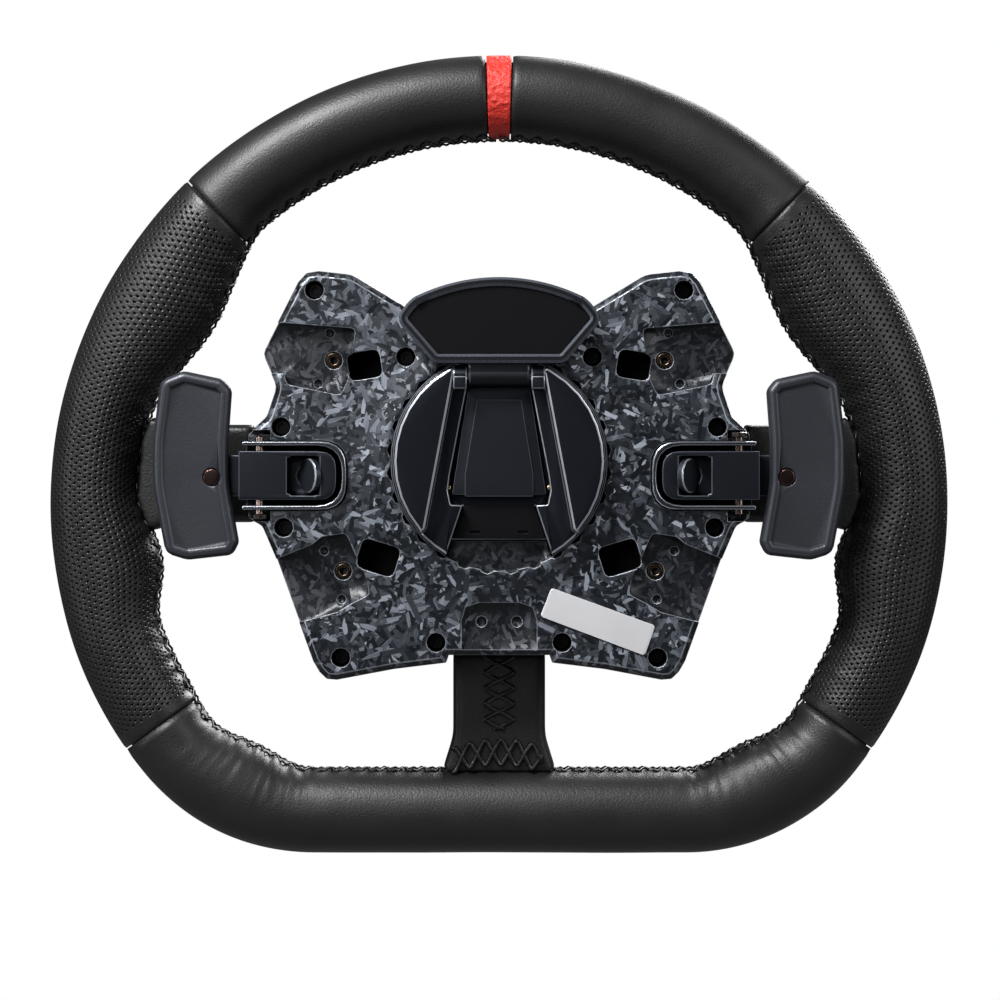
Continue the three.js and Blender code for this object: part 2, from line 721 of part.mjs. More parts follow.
function frontShell() {
  const y0 = shellFrontY + seat;
  const top = frontFaceY - wall;
  let body = stack([
    { points: housing(), y: y0 },
    { points: housing(), y: frontFaceY - frontChamfer },
    { points: housing(-frontChamfer), y: frontFaceY },
  ]).subtract(slab(housing(-wall), y0 - 1, top));
  let cuts = arms(seat);
  for (const [x, z] of bothSides(buttons)) {
    cuts = cuts.add(post(buttonRadius + slack, x, z, top - 1, frontFaceY + 1, 14));
  }
  for (const [, x, z] of knobs) cuts = cuts.add(post(knobShaft + slack, x, z, top - 1, frontFaceY + 1, 12));
  const strip = lightStrip(seat);
  return body.subtract(cuts).subtract(strip);
}

function lightStrip(grow) {
  const half = stripHeight / 2;
  const corners = [[-stripHalf, stripZ + half, 2], [stripHalf, stripZ + half, 2], [stripHalf, stripZ - half, 2],
    [-stripHalf, stripZ - half, 2]];
  const top = grow ? through : frontFaceY + stripStand;
  return slab(outline(corners, 2, grow), frontFaceY - stripDepth - grow, top);
}

const labelPlate = () => slab(outline(labelCorners, 2), shellBackY - seat - labelThickness, shellBackY - seat);

add('back_shell', backShell(), looks.composite);
add('front_shell', frontShell(), looks.black);
add('circuit_board', slab(housing(-wall - 4), boardY, boardY + boardThickness), looks.board);
add('label_plate', labelPlate(), looks.label);
add('light_strip', lightStrip(0), looks.light);
for (const [label, side] of [['left', -1], ['right', 1]]) {
  for (const { name, insert: [x, z] } of pockets) {
    const y = shellBackY + pocketDepth;
    const bore = post(insertBore, side * x, z, y - 1, y + insertDepth + 1, 8);
    const insert = post(insertRadius, side * x, z, y, y + insertDepth, 12).subtract(bore);
    add(`insert_${name}_${label}`, insert, looks.brass);
  }
}

// ---- Quick release ----

// A pad: its round edge follows the disc, and its inner edge is the channel's.
function padOutline(side, grow = 0) {
  const round = rimAngles(padFrom, padTo, 10).map((turn) => {
    return [padRadius * Math.cos(turn * deg), padRadius * Math.sin(turn * deg)];
  });
  const lower = onHub([[24.5, -23.5, 2], [26.6, -24.6, 1.5]]);
  const upper = onHub([[16.6, 32.1, 1.2], [14.2, 31.6, 1.2]]);
  return outline(onSide([...lower, ...round, ...upper], side), 2, grow);
}

// The turned blank: a disc with a cup behind it.
function hubBlank() {
  const inner = hubRadius - hubWall;
  const profile = [
    [0, hubFaceY], [hubRadius - 1, hubFaceY], [hubRadius, hubFaceY + 1], [hubRadius, shellFrontY],
    [inner, shellFrontY], [inner, channelY + hubFloor], [0, channelY + hubFloor],
  ];
  return solid(new THREE.LatheGeometry(profile.map(([radius, y]) => new THREE.Vector2(radius, y)), 48));
}

// A stop pin, or its bore: grown by a gap, and run on at both ends.
function plungerBar(side, gap = 0, more = 0) {
  const from = side * (plungerInner - more);
  const to = side * (plungerInner + plungerLength + gap);
  return bar(plungerRadius + gap, [from, plungerY, plungerZ], [to, plungerY, plungerZ], 10);
}

// A round-backed ear that holds one end of the lever's pin, inside the sweep of the lever's lower edge.
function hingeEar(side) {
  const [from, to] = [side * (barrelHalf + slack), side * (barrelHalf + slack + earWidth)];
  const radius = leverBottom - barrelZ - slack - 0.1;
  const boss = bar(radius, [from, barrelY, barrelZ], [to, barrelY, barrelZ], 14);
  return boss.add(box(from, to, barrelY - radius, hubFaceY + 1, barrelZ - radius - 0.5, barrelZ));
}

function hubDisc() {
  let body = hubBlank();
  for (const side of [-1, 1]) {
    body = body.add(stack([
      { points: padOutline(side, -padBevel), y: padFaceY },
      { points: padOutline(side), y: padFaceY + padBevel },
      { points: padOutline(side), y: hubFaceY + 0.5 },
    ]));
  }
  body = body.subtract(slab(mirrored(channelHalf), -through, channelY));
  body = body.subtract(slab(mirrored(channelEnd(0)), -through, through));
  for (const side of [-1, 1]) {
    body = body.add(hingeEar(side)).subtract(plungerBar(side, seat, 2));
  }
  const half = barrelHalf + slack + earWidth - 0.2;
  return body.subtract(bar(hingePinRadius + 0.2, [-half, barrelY, barrelZ], [half, barrelY, barrelZ], 12));
}

// Half of the lever's outline: a flat arc, a corner each side, and a straight lower edge.
function leverHalf() {
  const crown = [0, 7.5, 15, 22, 28].map((turn) => {
    const fall = leverArc * (1 - Math.cos(turn * deg));
    return [leverArc * Math.sin(turn * deg), leverTop - fall];
  });
  return [...crown, ...onHub([[34.7, 47.8, 4]]), [22 * hubShare, leverBottom, 2]];
}

function releaseLever() {
  const front = leverBackY + leverThickness;
  const recess = leverBackY + panelRecess + panelThickness + seat;
  let body = stack([
    { points: mirrored(leverHalf(), -leverEdge), y: leverBackY },
    { points: mirrored(leverHalf()), y: leverBackY + leverEdge },
    { points: mirrored(leverHalf()), y: front },
  ]).subtract(slab(mirrored(leverHalf(), -bezel), -through, recess));
  body = body.add(bar(barrelRadius, [-barrelHalf, barrelY, barrelZ], [barrelHalf, barrelY, barrelZ], 18));
  body = body.add(box(-barrelHalf, barrelHalf, barrelY - barrelRadius + 0.3, front, barrelZ, leverBottom + 1.5));
  return body.subtract(bar(hingePinRadius + 0.2, [-through, barrelY, barrelZ], [through, barrelY, barrelZ], 12));
}

function leverPanel() {
  const back = leverBackY + panelRecess;
  return slab(mirrored(leverHalf(), -bezel - seat), back, back + panelThickness);
}

function leverPin() {
  const half = barrelHalf + slack + earWidth - 0.45;
  return bar(hingePinRadius, [-half, barrelY, barrelZ], [half, barrelY, barrelZ], 12);
}

function clampPlate() {
  const wing = slab(mirrored(plateWing), plateWingY, plateMetal);
  return wing.add(slab(mirrored(plateRidge), 0, plateMetal));
}

function contactBlock() {
  const front = channelY - seat;
  let block = slab(mirrored(contactHalf), front - contactThickness, front);
  const { inner, outer, top, height } = contactSlot;
  for (const side of [-1, 1]) {
    block = block.subtract(box(side * inner, side * outer, 0, through, (top - height) * hubShare, top * hubShare));
  }
  return block;
}

add('hub_disc', hubDisc(), looks.blackMetal);
add('release_lever', releaseLever(), looks.blackMetal);
add('lever_panel', leverPanel(), looks.black);
add('lever_pin', leverPin(), looks.steel);
add('clamp_plate', clampPlate(), looks.blackMetal);
add('contact_block', contactBlock(), looks.black);
add('plunger_left', plungerBar(-1), looks.brass);
add('plunger_right', plungerBar(1), looks.brass);

// ---- Paddles ----

function bracketOutline(side, grow, outer = bracketOuter) {
  const half = bracketHeight / 2 + grow;
  const inner = bracketInner - grow;
  const corners = [[inner, half, 9], [outer, half], [outer, -half], [inner, -half, 9]];
  return outline(corners.map(([x, z, radius]) => [side * x, paddleZ + z, radius]), 5);
}

const pinBar = (side, radius, half) => {
  const x = side * pivotX;
  return bar(radius, [x, pivotY, paddleZ - half], [x, pivotY, paddleZ + half], 12);
};

function paddleBracket(side) {
  return slab(bracketOutline(side, 0), bracketBackY, bracketFront)
    .subtract(slab(bracketOutline(side, -bracketWall, bracketOuter + 5), -through, bracketFront - bracketWall))
    .subtract(pinBar(side, pivotRadius + 0.2, bracketHeight));
}

// The wedge's slope faces outwards and back. Its magnet lies on it.
const magnetFace = (side) => new THREE.Vector3(side * Math.sin(magnetTilt * deg), -Math.cos(magnetTilt * deg), 0);

// The arm's channel seen from the back, shrunk by a distance and run out to a given end.
function armOutline(side, shrink, outer) {
  const half = armHeight / 2 - shrink;
  const inner = armInner + shrink;
  const corners = [[inner, half, 6], [outer, half], [outer, -half], [inner, -half, 6]];
  return outline(corners.map(([x, z, radius]) => [side * x, paddleZ + z, radius]), 4);
}

// Where the slope under the magnet meets the channel's web.
const slopeRun = Math.tan((90 - magnetTilt) * deg);
const slopeFoot = magnetX + slopeRun * (armWebY - magnetY);

function magnetWedge(side) {
  const crest = slopeFoot - slopeRun * (armWebY - armBackY);
  const end = armInner + 1;
  const wedge = new THREE.Shape([
    new THREE.Vector2(end, armBackY), new THREE.Vector2(crest, armBackY),
    new THREE.Vector2(slopeFoot, armWebY + 0.5), new THREE.Vector2(end, armWebY + 0.5),
  ]);
  const height = armHeight - 2 * armMetal + 0.6;
  const block = new THREE.ExtrudeGeometry(wedge, { depth: height, bevelEnabled: false });
  block.translate(0, 0, paddleZ - height / 2);
  if (side < 0) block.scale(-1, 1, 1);
  return solid(block).intersect(slab(armOutline(side, 0.4, armOuter), -through, armWebY + armMetal));
}

// The hole through the web where the round magnet's edge stands.
function magnetHole(side) {
  const half = magnetRadius + 0.5;
  const [from, to] = [side * (slopeFoot - 1.2), side * (slopeFoot + magnetRadius + 0.5)];
  const window = box(from, to, -through, through, paddleZ - half, paddleZ + half);
  return window.intersect(magnetBar(side, half, 0, 30));
}

function paddleArm(side) {
  const front = armWebY + armMetal;
  const channel = slab(armOutline(side, 0, armOuter), armBackY, front)
    .subtract(slab(armOutline(side, armMetal, armOuter + 5), -through, armWebY));
  const [tongueBottom, tongueTop] = [paddleZ - tongueHalf, paddleZ + tongueHalf];
  const tongue = box(side * (armOuter - 1), side * tongueEnd, armWebY, front, tongueBottom, tongueTop);
  const [bottom, top] = [paddleZ - armHeight / 2, paddleZ + armHeight / 2];
  const cover = box(side * armCover, side * armOuter, armBackY, armBackY + armCoverMetal, bottom, top);
  return channel.add(tongue).add(cover).add(magnetWedge(side))
    .subtract(magnetHole(side))
    .subtract(pinBar(side, pivotRadius + 0.2, armHeight))
    .subtract(post(screwShank + 0.2, side * bladeScrew[0], bladeScrew[1], 0, through, 10));
}

function magnetBar(side, radius, from, to, sides = 20) {
  const face = magnetFace(side);
  const middle = new THREE.Vector3(side * magnetX, magnetY, paddleZ);
  const at = (distance) => middle.clone().addScaledVector(face, distance).toArray();
  return bar(radius, at(from), at(to), sides);
}

function paddleBlade(side) {
  const points = (grow) => outline(onSide(bladeCorners, side), 2, grow);
  const front = bladeY + bladeThickness;
  const floor = bladeY + bladeRecess;
  const [x, z] = bladeScrew;
  const plate = stack([
    { points: points(-bladeEdge), y: bladeY },
    { points: points(0), y: bladeY + bladeEdge },
    { points: points(0), y: front - 0.6 },
    { points: points(-0.6), y: front },
  ]);
  const recess = stack([
    { points: points(0.6 - bladeBorder), y: bladeY - 0.01 },
    { points: points(-bladeBorder), y: floor },
  ]);
  return plate.subtract(recess)
    .subtract(post(screwShank + 0.2, side * x, z, 0, through, 10))
    .subtract(post(screwHead + seat, side * x, z, 0, floor + screwHeadHeight + 0.1, 14));
}

function bladeFixing(side) {
  const [x, z] = bladeScrew;
  const headY = bladeY + bladeRecess - 0.2;
  return post(screwHead, side * x, z, headY, headY + screwHeadHeight, 14)
    .add(post(screwShank, side * x, z, headY + 1, armWebY + armMetal + 1, 10));
}

function pivotPin(side) {
  const x = side * pivotX;
  const end = paddleZ + side * pinHalf;
  const head = bar(pinHead, [x, pivotY, end - side * 0.2], [x, pivotY, end + side * pinHeadHeight], 14);
  return pinBar(side, pivotRadius, pinHalf).add(head);
}

for (const [label, side] of [['left', -1], ['right', 1]]) {
  add(`paddle_bracket_${label}`, paddleBracket(side), looks.steel);
  add(`paddle_arm_${label}`, paddleArm(side), looks.blueMetal);
  add(`paddle_blade_${label}`, paddleBlade(side), looks.blueMetal);
  add(`blade_screw_${label}`, bladeFixing(side), looks.brass);
  add(`pivot_pin_${label}`, pivotPin(side), looks.steel);
  add(`arm_magnet_${label}`, magnetBar(side, magnetRadius, seat, seat + magnetThickness), looks.blackMetal);
  const stopY = armWebY + armMetal + seat;
  const floorY = bracketFront - bracketWall - seat;
  add(`fixed_magnet_${label}`, post(fixedMagnet, side * fixedMagnetX, paddleZ, stopY, floorY, 14), looks.steel);
}

// ---- Controls ----

function lathed(profile, x, z, sides) {
  const geometry = new THREE.LatheGeometry(profile.map(([radius, y]) => new THREE.Vector2(radius, y)), sides);
  geometry.translate(x, 0, z);
  return solid(geometry);
}

function pushButton(x, z) {
  const top = frontFaceY + buttonStand;
  const flange = frontFaceY - wall - 0.4;
  const base = boardY + boardThickness + buttonTravel + 0.4;
  const wide = buttonRadius + 1.1;
  return lathed([[0, base], [wide, base], [wide, flange], [buttonRadius, flange], [buttonRadius, top - 0.8],
    [buttonRadius - 1, top], [0, top - 0.5]], x, z, 14);
}

function knob(x, z) {
  const base = frontFaceY + slack;
  const top = frontFaceY + knobHeight;
  const profile = [[0, base], [knobRadius, base], [knobRadius - 1, top - 1], [knobRadius - 2, top], [0, top]];
  let body = lathed(profile, x, z, 24);
  for (let i = 0; i < knobFlutes; i++) {
    const turn = (i * 2 * Math.PI) / knobFlutes;
    const reach = knobRadius + 0.8;
    const [atX, atZ] = [x + Math.cos(turn) * reach, z + Math.sin(turn) * reach];
    body = body.subtract(post(knobFluteRadius, atX, atZ, base + 2, top + 1, 5));
  }
  return body.add(post(knobShaft, x, z, boardY + boardThickness + seat, base + 1, 12));
}

bothSides(buttons).forEach(([x, z], i) => add(`button_${i + 1}`, pushButton(x, z), looks.button));
for (const [label, x, z] of knobs) add(`knob_${label}`, knob(x, z), looks.button);

export default wheel;
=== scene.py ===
import bisect
import math

import bmesh
import bpy
from mathutils import Matrix, Vector, noise


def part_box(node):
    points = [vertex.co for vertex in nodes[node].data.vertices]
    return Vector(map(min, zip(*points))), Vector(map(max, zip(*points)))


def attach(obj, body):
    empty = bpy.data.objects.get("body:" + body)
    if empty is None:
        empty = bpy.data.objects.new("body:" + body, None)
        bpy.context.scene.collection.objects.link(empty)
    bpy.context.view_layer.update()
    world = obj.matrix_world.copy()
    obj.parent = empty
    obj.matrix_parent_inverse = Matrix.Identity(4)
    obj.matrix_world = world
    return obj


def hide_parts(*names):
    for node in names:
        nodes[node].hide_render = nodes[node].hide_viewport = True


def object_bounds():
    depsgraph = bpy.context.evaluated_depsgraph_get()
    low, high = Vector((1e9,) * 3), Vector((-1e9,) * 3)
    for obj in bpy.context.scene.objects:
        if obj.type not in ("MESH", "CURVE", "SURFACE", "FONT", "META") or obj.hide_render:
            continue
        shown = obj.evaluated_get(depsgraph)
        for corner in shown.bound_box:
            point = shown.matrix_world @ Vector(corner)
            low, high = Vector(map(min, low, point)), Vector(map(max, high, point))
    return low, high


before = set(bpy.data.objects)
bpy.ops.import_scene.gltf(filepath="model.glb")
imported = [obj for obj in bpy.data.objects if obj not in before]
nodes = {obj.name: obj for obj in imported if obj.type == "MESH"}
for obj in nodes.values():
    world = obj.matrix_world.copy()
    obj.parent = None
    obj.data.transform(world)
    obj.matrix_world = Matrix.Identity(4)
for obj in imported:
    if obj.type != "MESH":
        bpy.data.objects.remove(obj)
cad_low, cad_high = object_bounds()


# ---- Studio ----
# A camera square on to the back of the wheel, a pale floor below it, and large soft lights: one high on the left,
# a weaker one on the right, strips at the sides for the edges, and one in front of the driver's side.

camera_distance = 0.760
camera_height = -0.0130
floor_half, floor_gap = 1.1, 0.32
scene = bpy.context.scene
camera = bpy.data.objects.new("camera", bpy.data.cameras.new("camera"))
camera.data.lens = 80.7
camera.data.sensor_width = 36
camera.location = (0.0003, -camera_distance, camera_height)
camera.rotation_euler = (math.radians(90), 0, 0)
scene.collection.objects.link(camera)
scene.camera = camera
scene.view_settings.view_transform = "Standard"
scene.view_settings.look = "None"

floor_bm = bmesh.new()
bmesh.ops.create_grid(floor_bm, x_segments=2, y_segments=2, size=floor_half)
bmesh.ops.translate(floor_bm, verts=floor_bm.verts, vec=(0, 0, cad_low.z - floor_gap))
floor = bpy.data.objects.new("floor", bpy.data.meshes.new("floor"))
floor_bm.to_mesh(floor.data)
floor_bm.free()
scene.collection.objects.link(floor)
floor_material = bpy.data.materials.new("floor")
floor_material.use_nodes = True
floor_tree = floor_material.node_tree
floor_shader = floor_tree.nodes["Principled BSDF"]
floor_shader.inputs["Roughness"].default_value = 0.8
floor_seen = floor_tree.nodes.new("ShaderNodeLightPath")
floor_colour = floor_tree.nodes.new("ShaderNodeMix")
floor_colour.data_type = "RGBA"
floor_colour.inputs["A"].default_value = (0.12, 0.12, 0.12, 1)
floor_colour.inputs["B"].default_value = (0.82, 0.82, 0.82, 1)
floor_tree.links.new(floor_seen.outputs["Is Camera Ray"], floor_colour.inputs["Factor"])
floor_tree.links.new(floor_colour.outputs["Result"], floor_shader.inputs["Base Color"])
floor.data.materials.append(floor_material)

world = bpy.data.worlds.new("studio")
scene.world = world
world.use_nodes = True
world_nodes = world.node_tree.nodes
world_links = world.node_tree.links
background = world_nodes["Background"]
background.inputs["Color"].default_value = (0.78, 0.84, 0.93, 1)
background.inputs["Strength"].default_value = 0.07
backdrop = world_nodes.new("ShaderNodeBackground")
backdrop.inputs["Color"].default_value = (1, 1, 1, 1)
seen = world_nodes.new("ShaderNodeLightPath")
choose = world_nodes.new("ShaderNodeMixShader")
world_links.new(seen.outputs["Is Camera Ray"], choose.inputs["Fac"])
world_links.new(background.outputs["Background"], choose.inputs[1])
world_links.new(backdrop.outputs["Background"], choose.inputs[2])
world_links.new(choose.outputs["Shader"], world_nodes["World Output"].inputs["Surface"])


def softbox(name, place, size, watts):
    """A soft area light that faces the hub."""
    lamp = bpy.data.lights.new(name, "AREA")
    lamp.shape = "RECTANGLE"
    lamp.size, lamp.size_y = size
    lamp.energy = watts
    box = bpy.data.objects.new(name, lamp)
    box.location = place
    box.rotation_euler = (Vector((0, 0, 0)) - Vector(place)).to_track_quat("-Z", "Y").to_euler()
    scene.collection.objects.link(box)


softbox("key", (-0.52, -0.66, 0.92), (0.45, 0.45), 30)
softbox("front", (-0.45, -1.25, 0.30), (0.6, 0.6), 3)
softbox("fill", (0.90, -0.80, 0.45), (0.5, 0.6), 4)
softbox("left_edge", (-1.15, -0.40, 0.15), (0.2, 0.9), 2.5)
softbox("right_edge", (1.15, -0.35, 0.20), (0.2, 0.9), 1.5)
softbox("driver_side", (0.55, 1.0, 0.75), (0.8, 0.8), 26)


# ---- Leather on the rim ----
# Black cowhide glued and laced over moulded foam: smooth at the top and the bottom, perforated round the grips.
# Each length is cut to meet the next at a tight joint, and its two edges meet along the inside of the rim.

rim_radius = 0.159
rim_centre_z = -0.0144
rim_bottom_z = -0.138
rim_plane_y = (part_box("rim_skeleton")[0].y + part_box("rim_skeleton")[1].y) / 2
side_radius = 0.148
side_from, corner_from = -10, -39
tube_thickness, tube_depth = 0.0296, 0.030
grip_top, grip_end = 46, -35
band_half_angle = math.degrees(0.00475 / rim_radius)
grip_blend, grip_more_thickness, grip_more_depth = 8, 0.0014, 0.0025
swells = [(31.5, 19, 0.0086), (-9, 12, 0.0065), (-64, 26, 0.0036)]  # angle, half spread, extra thickness


def way(angle):
    """The way out at this angle, counted up from the right, in the plane of the rim."""
    return Vector((math.cos(math.radians(angle)), math.sin(math.radians(angle))))


crown_centre = Vector((0, rim_centre_z))
side_centre = crown_centre + way(side_from) * (rim_radius - side_radius)
corner_drop = -way(corner_from).y
corner_radius = (side_centre.y - rim_bottom_z - corner_drop * side_radius) / (1 - corner_drop)
corner_centre = side_centre + way(corner_from) * (side_radius - corner_radius)


def smooth_step(value, low, high):
    """0 below low, 1 above high, and an S-curve between."""
    t = min(1.0, max(0.0, (value - low) / (high - low)))
    return t * t * (3 - 2 * t)


def rim_place(angle, side=1):
    """The rim's outline point, way out, thickness and depth where the way out has this angle."""
    if angle >= side_from:
        centre, radius = crown_centre, rim_radius
    elif angle >= corner_from:
        centre, radius = side_centre, side_radius
    else:
        centre, radius = corner_centre, corner_radius
    out = way(angle)
    edge = centre + out * radius
    grip = smooth_step(grip_top + grip_blend / 2 - angle, 0, grip_blend)
    grip *= smooth_step(angle - grip_end + grip_blend / 2, 0, grip_blend)
    thickness = tube_thickness + grip_more_thickness * grip
    for at, spread, swell in swells:
        away = min(1.0, abs(angle - at) / spread)
        thickness += swell * math.cos(away * math.pi / 2) ** 2
    depth = tube_depth + grip_more_depth * grip
    return Vector((edge.x * side, edge.y)), Vector((out.x * side, out.y)), thickness, depth


def on_tube(place, turn, lift=0.0):
    """A point of the tube's surface: turn 0 is the outer edge, pi the inner edge, pi/2 the driver's side."""
    edge, out, thickness, depth = place
    middle = edge - out * (thickness / 2)
    reach = math.cos(turn) * (thickness / 2 + lift)
    y = rim_plane_y + math.sin(turn) * (depth / 2 + lift)
    return Vector((middle.x + out.x * reach, y, middle.y + out.y * reach))


stitch_pitch = 0.0066
seam_depth, seam_spread = 0.0011, 0.10
shoulder_turn, shoulder_spread, shoulder_height, stitch_pull = 0.30, 0.13, 0.0002, 0.0006
fold_from, fold_full, fold_spread = 0.045, 0.085, 1.1
unevenness, uneven_scale = 0.00022, 33


def along_inside(angle):
    """Rough distance along the rim's inner edge from the top, for the stitches' rhythm."""
    return math.radians(90 - angle) * (rim_radius - tube_thickness)


def leather_relief(place, turn, angle, wrinkle):
    """How far the leather stands off the tube: a tucked seam along the inside, pulled in at each stitch."""
    away = abs(turn - math.pi)
    seam = math.exp(-((away / seam_spread) ** 2))
    shoulder = math.exp(-(((away - shoulder_turn) / shoulder_spread) ** 2))
    rhythm = 0.5 + 0.5 * math.cos(2 * math.pi * along_inside(angle) / stitch_pitch)
    soft = noise.noise(on_tube(place, turn) * uneven_scale) * unevenness
    folds = noise.noise(Vector((angle * 0.55, turn * 1.3, 2.0))) * wrinkle
    folds *= math.exp(-((away / fold_spread) ** 2)) * smooth_step(abs(place[0].x), fold_from, fold_full)
    return soft + folds - seam_depth * seam + shoulder * (shoulder_height - stitch_pull * rhythm)


def new_piece(name, bm, material, body="wheel", replaced=()):
    """A bmesh as a finished piece: smooth, with its finish, on its body, in place of its CAD nodes."""
    mesh = bpy.data.meshes.new(name)
    bm.to_mesh(mesh)
    bm.free()
    mesh.shade_smooth()
    piece = bpy.data.objects.new(name, mesh)
    scene.collection.objects.link(piece)
    mesh.materials.append(material)
    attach(piece, body)
    if replaced:
        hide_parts(*replaced)
    return piece


end_lifts = (-0.006, -0.0012, -0.0003)


def tube_bmesh(places, angles, around, wrinkle):
    """A circle extruded from station to station, rolled in and closed at both ends."""
    bm = bmesh.new()
    bmesh.ops.create_circle(bm, segments=around, radius=1.0)
    ring = list(bm.verts)
    turns = [math.atan2(v.co.y, v.co.x) % (2 * math.pi) for v in ring]
    order = sorted(range(around), key=lambda i: turns[i])
    ring = [ring[i] for i in order]
    turns = [turns[i] for i in order]
    edges = list(bm.edges)
    stations = [(places[0], angles[0], lift) for lift in end_lifts]
    stations += [(place, angle, 0.0) for place, angle in zip(places[1:-1], angles[1:-1])]
    stations += [(places[-1], angles[-1], lift) for lift in reversed(end_lifts)]
    last = {}
    for place, angle, lift in stations:
        if last:
            made = bmesh.ops.extrude_edge_only(bm, edges=edges)["geom"]
            fresh = [g for g in made if isinstance(g, bmesh.types.BMVert)]
            edges = [g for g in made if isinstance(g, bmesh.types.BMEdge)]
            step = {}
            for vert in fresh:
                for edge in vert.link_edges:
                    other = edge.other_vert(vert)
                    if other in last:
                        step[last[other]] = vert
            ring = [step[i] for i in range(around)]
        last = {vert: i for i, vert in enumerate(ring)}
        for vert, turn in zip(ring, turns):
            vert.co = on_tube(place, turn, lift + leather_relief(place, turn, angle, wrinkle))
    bmesh.ops.holes_fill(bm, edges=[e for e in bm.edges if e.is_boundary], sides=0)
    bmesh.ops.recalc_face_normals(bm, faces=bm.faces)
    return bm


def noise_of(tree, scale, detail=2):
    """Noise in the object's own space. Returns its value."""
    place = tree.nodes.new("ShaderNodeTexCoord")
    texture = tree.nodes.new("ShaderNodeTexNoise")
    texture.inputs["Scale"].default_value = scale
    texture.inputs["Detail"].default_value = detail
    tree.links.new(place.outputs["Object"], texture.inputs["Vector"])
    return texture.outputs["Fac"]


def bump_from(tree, height, strength, distance):
    """The normal of a surface with this relief."""
    bump = tree.nodes.new("ShaderNodeBump")
    bump.inputs["Strength"].default_value = strength
    bump.inputs["Distance"].default_value = distance
    tree.links.new(height, bump.inputs["Height"])
    return bump.outputs["Normal"]


def group(name, inputs, outputs):
    """An empty node group with float inputs and the outputs given as name: socket type."""
    tree = bpy.data.node_groups.new(name, "ShaderNodeTree")
    for label, value in inputs.items():
        socket = tree.interface.new_socket(label, in_out="INPUT", socket_type="NodeSocketFloat")
        socket.default_value = value
    for label, kind in outputs.items():
        tree.interface.new_socket(label, in_out="OUTPUT", socket_type=kind)
    return tree, tree.nodes.new("NodeGroupInput"), tree.nodes.new("NodeGroupOutput")


def math_node(tree, operation, a, b=None, c=None):
    """A Math node fed with numbers or sockets. Returns its output."""
    node = tree.nodes.new("ShaderNodeMath")
    node.operation = operation
    for socket, value in zip(node.inputs, (a, b, c)):
        if value is None:
            continue
        if isinstance(value, (int, float)):
            socket.default_value = value
        else:
            tree.links.new(value, socket)
    return node.outputs[0]


def mix_colour(tree, factor, a, b):
    """Colour a turning into colour b, each given as a colour or a socket."""
    mix = tree.nodes.new("ShaderNodeMix")
    mix.data_type = "RGBA"
    for socket, value in ((mix.inputs["Factor"], factor), (mix.inputs["A"], a), (mix.inputs["B"], b)):
        if isinstance(value, tuple):
            socket.default_value = (*value, 1)
        elif isinstance(value, (int, float)):
            socket.default_value = value
        else:
            tree.links.new(value, socket)
    return mix.outputs["Result"]


# Leather grain: pebbles from cells, finer creases from noise, and slow changes in sheen.
grain_tree, grain_in, grain_out = group(
    "leather_grain", {"Pebbles": 900.0, "Depth": 0.25}, {"Height": "NodeSocketFloat", "Sheen": "NodeSocketFloat"}
)
grain_place = grain_tree.nodes.new("ShaderNodeTexCoord")
pebbles = grain_tree.nodes.new("ShaderNodeTexVoronoi")
pebbles.feature = "SMOOTH_F1"
grain_tree.links.new(grain_place.outputs["Object"], pebbles.inputs["Vector"])
grain_tree.links.new(grain_in.outputs["Pebbles"], pebbles.inputs["Scale"])
pebble_height = math_node(grain_tree, "SUBTRACT", 1.0, pebbles.outputs["Distance"])
grain_height = math_node(grain_tree, "MULTIPLY_ADD", noise_of(grain_tree, 1400, 5), 0.6, pebble_height)
grain_scaled = math_node(grain_tree, "MULTIPLY", grain_height, grain_in.outputs["Depth"])
grain_tree.links.new(grain_scaled, grain_out.inputs["Height"])
grain_tree.links.new(noise_of(grain_tree, 60, 3), grain_out.inputs["Sheen"])


def leather_finish(name, dark, light, pebbles_per_metre, depth, gloss, bump):
    """Grained leather. Faces with the "hole" attribute are painted near black, as the shade inside the holes, and
    made fully rough.
    """
    material = bpy.data.materials.new(name)
    material.use_nodes = True
    tree = material.node_tree
    shader = tree.nodes["Principled BSDF"]
    grain = tree.nodes.new("ShaderNodeGroup")
    grain.node_tree = grain_tree
    grain.inputs["Pebbles"].default_value = pebbles_per_metre
    grain.inputs["Depth"].default_value = depth
    punched = tree.nodes.new("ShaderNodeAttribute")
    punched.attribute_name = "hole"
    dyed = mix_colour(tree, grain.outputs["Sheen"], dark, light)
    # Painted shade: the hole faces are coloured near black.
    hole_painted_shade = mix_colour(tree, punched.outputs["Fac"], dyed, (0.0005, 0.0005, 0.0005))
    tree.links.new(hole_painted_shade, shader.inputs["Base Color"])
    sheen = math_node(tree, "MULTIPLY_ADD", grain.outputs["Sheen"], 0.16, gloss)
    tree.links.new(math_node(tree, "ADD", sheen, punched.outputs["Fac"]), shader.inputs["Roughness"])
    tree.links.new(bump_from(tree, grain.outputs["Height"], bump, 0.0004), shader.inputs["Normal"])
    shader.inputs["Specular IOR Level"].default_value = 0.42
    return material


dyed_black = (0.006, 0.006, 0.0065)
smooth_leather = leather_finish("smooth_leather", dyed_black, (0.012, 0.012, 0.0125), 1500, 0.40, 0.37, 0.45)
perforated_leather = leather_finish("perforated_leather", dyed_black, (0.011, 0.011, 0.0115), 1300, 0.5, 0.33, 0.45)
red_leather = leather_finish("red_leather", (0.46, 0.018, 0.012), (0.62, 0.035, 0.022), 620, 1.6, 0.38, 1.0)


def rim_angles(start, end, spacing):
    """Angles from start to end, about this far apart along the rim's outer edge."""
    radius = rim_radius if end >= corner_from else corner_radius
    count = max(2, round(abs(math.radians(end - start)) * radius / spacing))
    return [start + (end - start) * i / count for i in range(count + 1)]


joint = math.degrees(0.00022 / rim_radius)
tube_sides, station_gap, flat_gap = 72, 0.0016, 0.002

